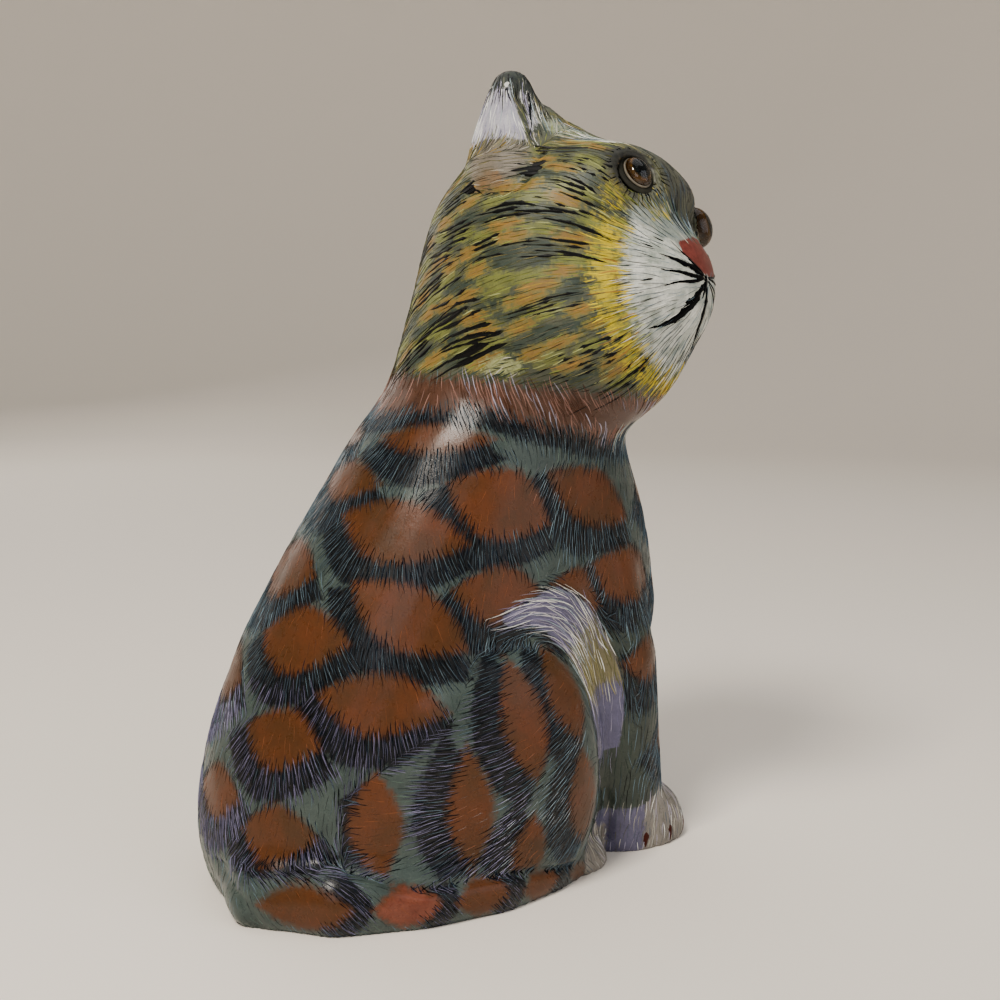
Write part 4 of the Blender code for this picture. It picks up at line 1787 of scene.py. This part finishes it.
    def face_lines(self) -> StrokeLayer:
        """The mouth, whiskers, painted shade under the nose, the lashes round the eyes and the
        claws.
        """
        lines = StrokeLayer("face_lines", self.skin, self.rng, Sheen.DEEP, legs=8)
        for places, wide in FACE_LINES:
            for flip in (False, True):
                corners = np.array(places, float)
                if flip:
                    corners[:, 1] = -2.0 - corners[:, 1]
                thin = wide * (0.65 if flip else 1.0)
                lines.draw(HEAD.out_of(corners), thin, Pot.BLACK)
        right = unit(np.cross(EYE_LOOK, [0, 0, 1.0]))
        high = np.cross(right, EYE_LOOK)
        lashes = (Pot.BLACK, Pot.BLUE_BLACK, Pot.BLACK, Pot.GREY, Pot.OLIVE)
        near = 3.3
        for side in (-1, 1):
            for number in range(self.LASHES):
                turn = 2 * math.pi * (number + self.rng.uniform(-0.3, 0.3)) / self.LASHES
                ray = math.cos(turn) * right + math.sin(turn) * high
                far = self.rng.uniform(4.8, 6.2) + 1.3 * max(math.cos(turn), 0)
                ends = np.array([EYE + near * ray, EYE + far * ray + 0.3 * EYE_LOOK])
                wide = self.rng.uniform(0.22, 0.4)
                paint = lashes[number % len(lashes)]
                lines.draw(HEAD.out_of(ends * (1, side, 1)), wide, paint)
            for places, wide, paint in (
                (EAR_RIDGE, 0.8, Pot.BLUE_BLACK),
                (EAR_FLECK, 0.9, Pot.WHITE),
            ):
                corners = np.array(places) * (1, side, 1)
                lines.draw(HEAD.out_of(corners), wide, paint)
        for side in (-1, 1):
            for place in CLAWS:
                at = np.array(place)
                at[0] = MIDDLE_X + side * abs(at[0] - MIDDLE_X)
                ends = np.array([at + np.array([0, 0.3, 1.9]), at - np.array([0, 0, 1.6])])
                lines.draw(ends, 1.5, Pot.CLAW)
        return lines

    def build(self) -> None:
        """Lays every layer."""
        body = (self.dark_fur, self.pale_fur, self.ground_fur)
        head = (self.head_streaks, self.head_hairs, self.head_marks)
        for make in (*body, *head, self.ear_hairs, self.crest_hairs, self.face_lines):
            layer = make()
            layer.build(BrushedPaint(layer.name + "_acrylic", layer.sheen).material())


# ---------------------------------------------------------------- the eyes


@dataclass(frozen=True)
class ClearGlass:
    """Clear blown glass, fire-polished: small hard glints over a deep, slightly warm eye."""

    tint: str = "#f6f1e4"
    roughness: float = 0.02
    bending: float = 1.42

    def material(self) -> bpy.types.Material:
        """A see-through shader by plain values."""
        made, tree = new_material("clear_eye_glass")
        look = {"Roughness": self.roughness, "Transmission Weight": 1.0, "IOR": self.bending}
        finish_surface(tree, {"Base Color": linear(self.tint), **look})
        return made


@dataclass(frozen=True)
class PaintedIris:
    """Amber enamel on the back of the glass, with a black pupil, faint fibres and a dark rim.

    It is flat and matt, because the glass in front of it gives all of the gloss.
    """

    pupil: float = 0.72
    pupil_black: str = "#050a0a"
    rings: tuple[tuple[float, str], ...] = (
        (0.0, "#2c260a"),
        (0.34, "#3a300b"),
        (0.46, "#54380b"),
        (0.58, "#1c1206"),
    )

    def material(self) -> bpy.types.Material:
        """Builds the iris as rings on the piece's own flat map."""
        made, tree = new_material("amber_iris_enamel")
        lay = add_node(tree, "UVMap", {"uv_map": MAP}, {})
        middle = {0: lay, 1: (0.5, 0.5, 0)}
        centred = add_node(tree, "VectorMath", {"operation": "SUBTRACT"}, middle)
        look = {"Vector": centred, "Scale": 14.0, "Detail": 3.0}
        fibre = add_node(tree, "TexNoise", {}, look)
        ring = add_node(tree, "VectorMath", {"operation": "LENGTH"}, {0: centred})
        bent = {0: fibre, 1: 0.10, 2: ring.outputs["Value"]}
        rings = add_node(tree, "Math", {"operation": "MULTIPLY_ADD"}, bent)
        amber = add_node(tree, "ValToRGB", {}, {0: rings})
        marks = amber.color_ramp
        for place, code in self.rings:
            mark = marks.elements.new(place)
            mark.color = linear(code)
        marks.elements.remove(marks.elements[-1])
        wider = {0: centred, 1: (2 / self.pupil, 2 / self.pupil, 0)}
        long = add_node(tree, "VectorMath", {"operation": "MULTIPLY"}, wider)
        round_it = add_node(tree, "VectorMath", {"operation": "LENGTH"}, {0: long})
        edge = {"Value": round_it.outputs["Value"], "From Min": 0.94, "From Max": 1.04}
        outside = add_node(tree, "MapRange", {}, edge)
        both = {0: outside, 6: linear(self.pupil_black), 7: amber}
        colour = add_node(tree, "Mix", COLOURS, both).outputs[MIXED]
        finish_surface(tree, {"Base Color": colour, "Roughness": 0.4, "Specular IOR Level": 0.0})
        return made


@dataclass(frozen=True)
class LidPaint:
    """Umber paint on the putty that the bead is set in, and beige paint on the thin rim at the
    bead's edge, lightened as a painted glint of the glass edge.

    It is dull and mottled in two tones, so the glass shines out of a matt socket.
    """

    tones: tuple[str, str]
    mottle: float = 0.8

    def material(self) -> bpy.types.Material:
        """Two close tones in small clouds."""
        made, tree = new_material("putty_and_painted_glint_rim")
        coords = add_node(tree, "TexCoord", {}, {}).outputs["Object"]
        look = {"Vector": coords, "Scale": 1 / (self.mottle * MM), "Detail": 3.0}
        noise = add_node(tree, "TexNoise", {}, look)
        both = {0: noise, 6: linear(self.tones[0]), 7: linear(self.tones[1])}
        colour = add_node(tree, "Mix", COLOURS, both).outputs[MIXED]
        finish_surface(tree, {"Base Color": colour, "Roughness": 0.7, "Specular IOR Level": 0.1})
        return made


@dataclass(frozen=True)
class GlassEye:
    """One eye: a domed glass bead with a painted iris sealed in it, set in a rim of putty.

    wide, high and deep are the bead's half sizes, ahead is how far it stands forward, turn
    leans its upright to the side, back is how far the rim lies behind the bead's middle, and
    socket is the half width of the hole it sits in.
    """

    name: str
    middle: Point
    wide: float
    high: float
    deep: float
    ahead: float
    turn: float = 0.0
    back: float = 0.2
    socket: float = 3.4

    def stand(self) -> Matrix:
        """The eye's place, with its own z along its look and its own y upright."""
        look = EYE_LOOK * (1, np.sign(self.middle[1]), 1)
        ahead = Vector(HEAD.turned() @ look)
        high = Vector(HEAD.turned() @ np.array([0, 0, 1.0]))
        high = (high - high.dot(ahead) * ahead).normalized()
        turned = Matrix((high.cross(ahead), high, ahead)).transposed().to_4x4()
        turned.translation = Vector(HEAD.out_of(np.array(self.middle))) + ahead * self.ahead
        return turned @ Matrix.Rotation(math.radians(self.turn), 4, "Z")

    def set_in_head(
        self, name: str, bm: bmesh.types.BMesh, paint: bpy.types.Material
    ) -> bpy.types.Object:
        """Moves a part of the eye to its place and makes it a piece.

        Args:
            name: What the part is.
            bm: Its shape in the eye's own axes.
            paint: Its finish.

        Returns:
            The piece.
        """
        bmesh.ops.transform(bm, matrix=self.stand(), verts=bm.verts)
        return settle(place_piece(f"{name}_{self.name}", bm), paint)

    def bead(self, glass: bpy.types.Material) -> bpy.types.Object:
        """The clear bead."""
        bm = bmesh.new()
        bmesh.ops.create_uvsphere(bm, u_segments=64, v_segments=40, radius=1.0)
        bmesh.ops.scale(bm, vec=(self.wide, self.high, self.deep), verts=bm.verts)
        piece = self.set_in_head("glass", bm, glass)
        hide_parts(self.name)
        return piece

    def iris(self, enamel: bpy.types.Material) -> bpy.types.Object:
        """The iris: a painted core inside the bead, mapped flat."""
        bm = bmesh.new()
        bmesh.ops.create_uvsphere(bm, u_segments=48, v_segments=24, radius=1.0)
        uv = bm.loops.layers.uv.new(MAP)
        for face in bm.faces:
            for loop in face.loops:
                loop[uv].uv = (0.5 + 0.5 * loop.vert.co.x, 0.5 + 0.5 * loop.vert.co.y)
        size = (self.wide * 0.93, self.high * 0.93, self.deep * 0.8)
        bmesh.ops.scale(bm, vec=size, verts=bm.verts)
        return self.set_in_head("iris", bm, enamel)

    def ring(
        self,
        name: str,
        grow: float,
        thick: float,
        flat: float,
        sunk: float,
        paint: bpy.types.Material,
    ) -> bpy.types.Object:
        """A closed ring round the bead.

        Args:
            name: What the ring is.
            grow: How far its middle line lies outside the bead.
            thick: Its half thickness.
            flat: Its height as a share of its thickness.
            sunk: How far it lies behind the rim.
            paint: Its finish.

        Returns:
            The piece.
        """
        bm = bmesh.new()
        bmesh.ops.create_circle(bm, segments=12, radius=thick)
        bmesh.ops.rotate(bm, matrix=Matrix.Rotation(math.radians(90), 3, "X"), verts=bm.verts)
        bmesh.ops.translate(bm, vec=(self.high + grow, 0, 0), verts=bm.verts)
        turn_profile(bm, 64)
        oval = (self.wide + grow) / (self.high + grow)
        bmesh.ops.scale(bm, vec=(oval, 1, flat), verts=bm.verts)
        bmesh.ops.translate(bm, vec=(0, 0, -self.back - sunk), verts=bm.verts)
        return self.set_in_head(name, bm, paint)


EYES = (
    GlassEye("eye_right", (18.9, -11.7, 13.8), 2.15, 2.75, 1.5, 0.4, 20.0, 0.2),
    GlassEye("eye_left", (18.2, 11.9, 13.3), 2.8, 3.7, 2.9, 1.0, back=0.9, socket=3.5),
)


# ---------------------------------------------------------------- the studio


@dataclass(frozen=True)
class SoftLight:
    """A square soft light: the way from the cat to it, its distance, side and power."""

    name: str
    way: Point
    far: float
    size: float
    power: float
    tint: str

    def build(self) -> None:
        """Hangs the light, turned to the middle of the cat."""
        lamp = bpy.data.lights.new(self.name, "AREA")
        lamp.size = self.size
        lamp.energy = self.power
        lamp.color = linear(self.tint)[:3]
        item = bpy.data.objects.new(self.name, lamp)
        way = Vector(self.way).normalized()
        item.location = way * self.far + Vector((0, 0, 0.06))
        item.rotation_euler = way.to_track_quat("Z", "Y").to_euler()
        bpy.context.scene.collection.objects.link(item)


@dataclass(frozen=True)
class Studio:
    """A pale round dish to stand on, soft lights and the camera, in metres and degrees."""

    floor_radius: float = 0.8
    wall_bend: float = 0.4
    wall_top: float = 1.0
    air: str = "#e8e6e2"
    air_light: float = 0.22
    lens: float = 50.4
    eye: Point = (-0.2178, 0.1004, 0.0925)
    heading: float = 243.0
    pitch: float = 7.125
    lights: tuple[SoftLight, ...] = (
        SoftLight("key_light", (-0.38, 0.52, 0.82), 0.55, 0.145, 3.6, "#fff6ea"),
        SoftLight("window", (-0.77, 0.53, 0.37), 0.6, 0.22, 0.38, "#eef0ff"),
        SoftLight("front_fill", (-0.9, -0.55, 0.45), 0.8, 0.7, 1.9, "#f2f4ff"),
        SoftLight("left_fill", (0.9, 0.1, 0.5), 0.8, 0.7, 2.1, "#fff8f0"),
        SoftLight("top_fill", (0.1, -0.2, 1.0), 0.9, 0.8, 1.6, "#ffffff"),
    )

    def floor(self) -> None:
        """The dish: a level floor of matt card that curves up to a low wall."""
        bm = bmesh.new()
        profile = [(0.0, 0.0), (self.floor_radius, 0.0)]
        steps = 8
        for step in range(1, steps + 1):
            turn = math.radians(90 * step / steps)
            out, up = self.wall_bend * math.sin(turn), self.wall_bend * (1 - math.cos(turn))
            profile.append((self.floor_radius + out, up))
        profile.append((self.floor_radius + self.wall_bend, self.wall_top))
        verts = [bm.verts.new((x, 0, z)) for x, z in profile]
        for pair in zip(verts, verts[1:]):
            bm.edges.new(pair)
        turn_profile(bm, 96)
        piece = place_piece("studio_floor", bm, 1.0)
        # Matt card: an even, pale surface without highlights, so the cat alone is seen.
        made, tree = new_material("matt_studio_card")
        finish_surface(tree, {"Base Color": linear("#f0e9de"), "Roughness": 0.8})
        piece.data.materials.append(made)

    def camera(self) -> None:
        """The camera, behind the cat's right shoulder and a little above its middle."""
        lens = bpy.data.cameras.new("camera")
        lens.lens = self.lens
        lens.sensor_width = 36.0
        lens.clip_start = 0.01
        lens.clip_end = 20.0
        camera = bpy.data.objects.new("camera", lens)
        turn, dip = math.radians(self.heading), math.radians(self.pitch)
        level = math.cos(dip)
        ahead = Vector((-math.sin(turn) * level, math.cos(turn) * level, -math.sin(dip)))
        camera.location = self.eye
        camera.rotation_euler = ahead.to_track_quat("-Z", "Y").to_euler()
        bpy.context.scene.collection.objects.link(camera)
        bpy.context.scene.camera = camera

    def build(self) -> None:
        """Sets up the floor, the lights, the air and the camera."""
        self.floor()
        for light in self.lights:
            light.build()
        world = bpy.data.worlds.new("studio_air")
        world.use_nodes = True
        background = world.node_tree.nodes["Background"]
        background.inputs[0].default_value = linear(self.air)
        background.inputs[1].default_value = self.air_light
        bpy.context.scene.world = world
        self.camera()


def main() -> None:
    """Builds the studio, the carving, its coat and its eyes."""
    logging.basicConfig(level=logging.INFO, format="%(name)s %(message)s")
    Studio().build()
    skin = Carving()
    skin.build(PaintedWood())
    Coat(skin).build()
    glass, enamel = ClearGlass().material(), PaintedIris().material()
    putty = LidPaint(("#161511", "#2c2c24")).material()
    # The thin rim at the bead's edge: beige paint, made pale as a painted glint along the edge of
    # the glass.
    rim = LidPaint(("#7d7668", "#4a463d")).material()
    for eye in EYES:
        eye.bead(glass)
        eye.iris(enamel)
        lid = (eye.socket - eye.wide) / 2
        eye.ring("lid", lid, lid, 0.5, 0.4, putty)
        # The pale rim: beige paint and a painted glint round the glass.
        eye.ring("rim", 0.06, 0.16, 1.4, 0.0, rim)


if __name__ == "__main__":
    main()
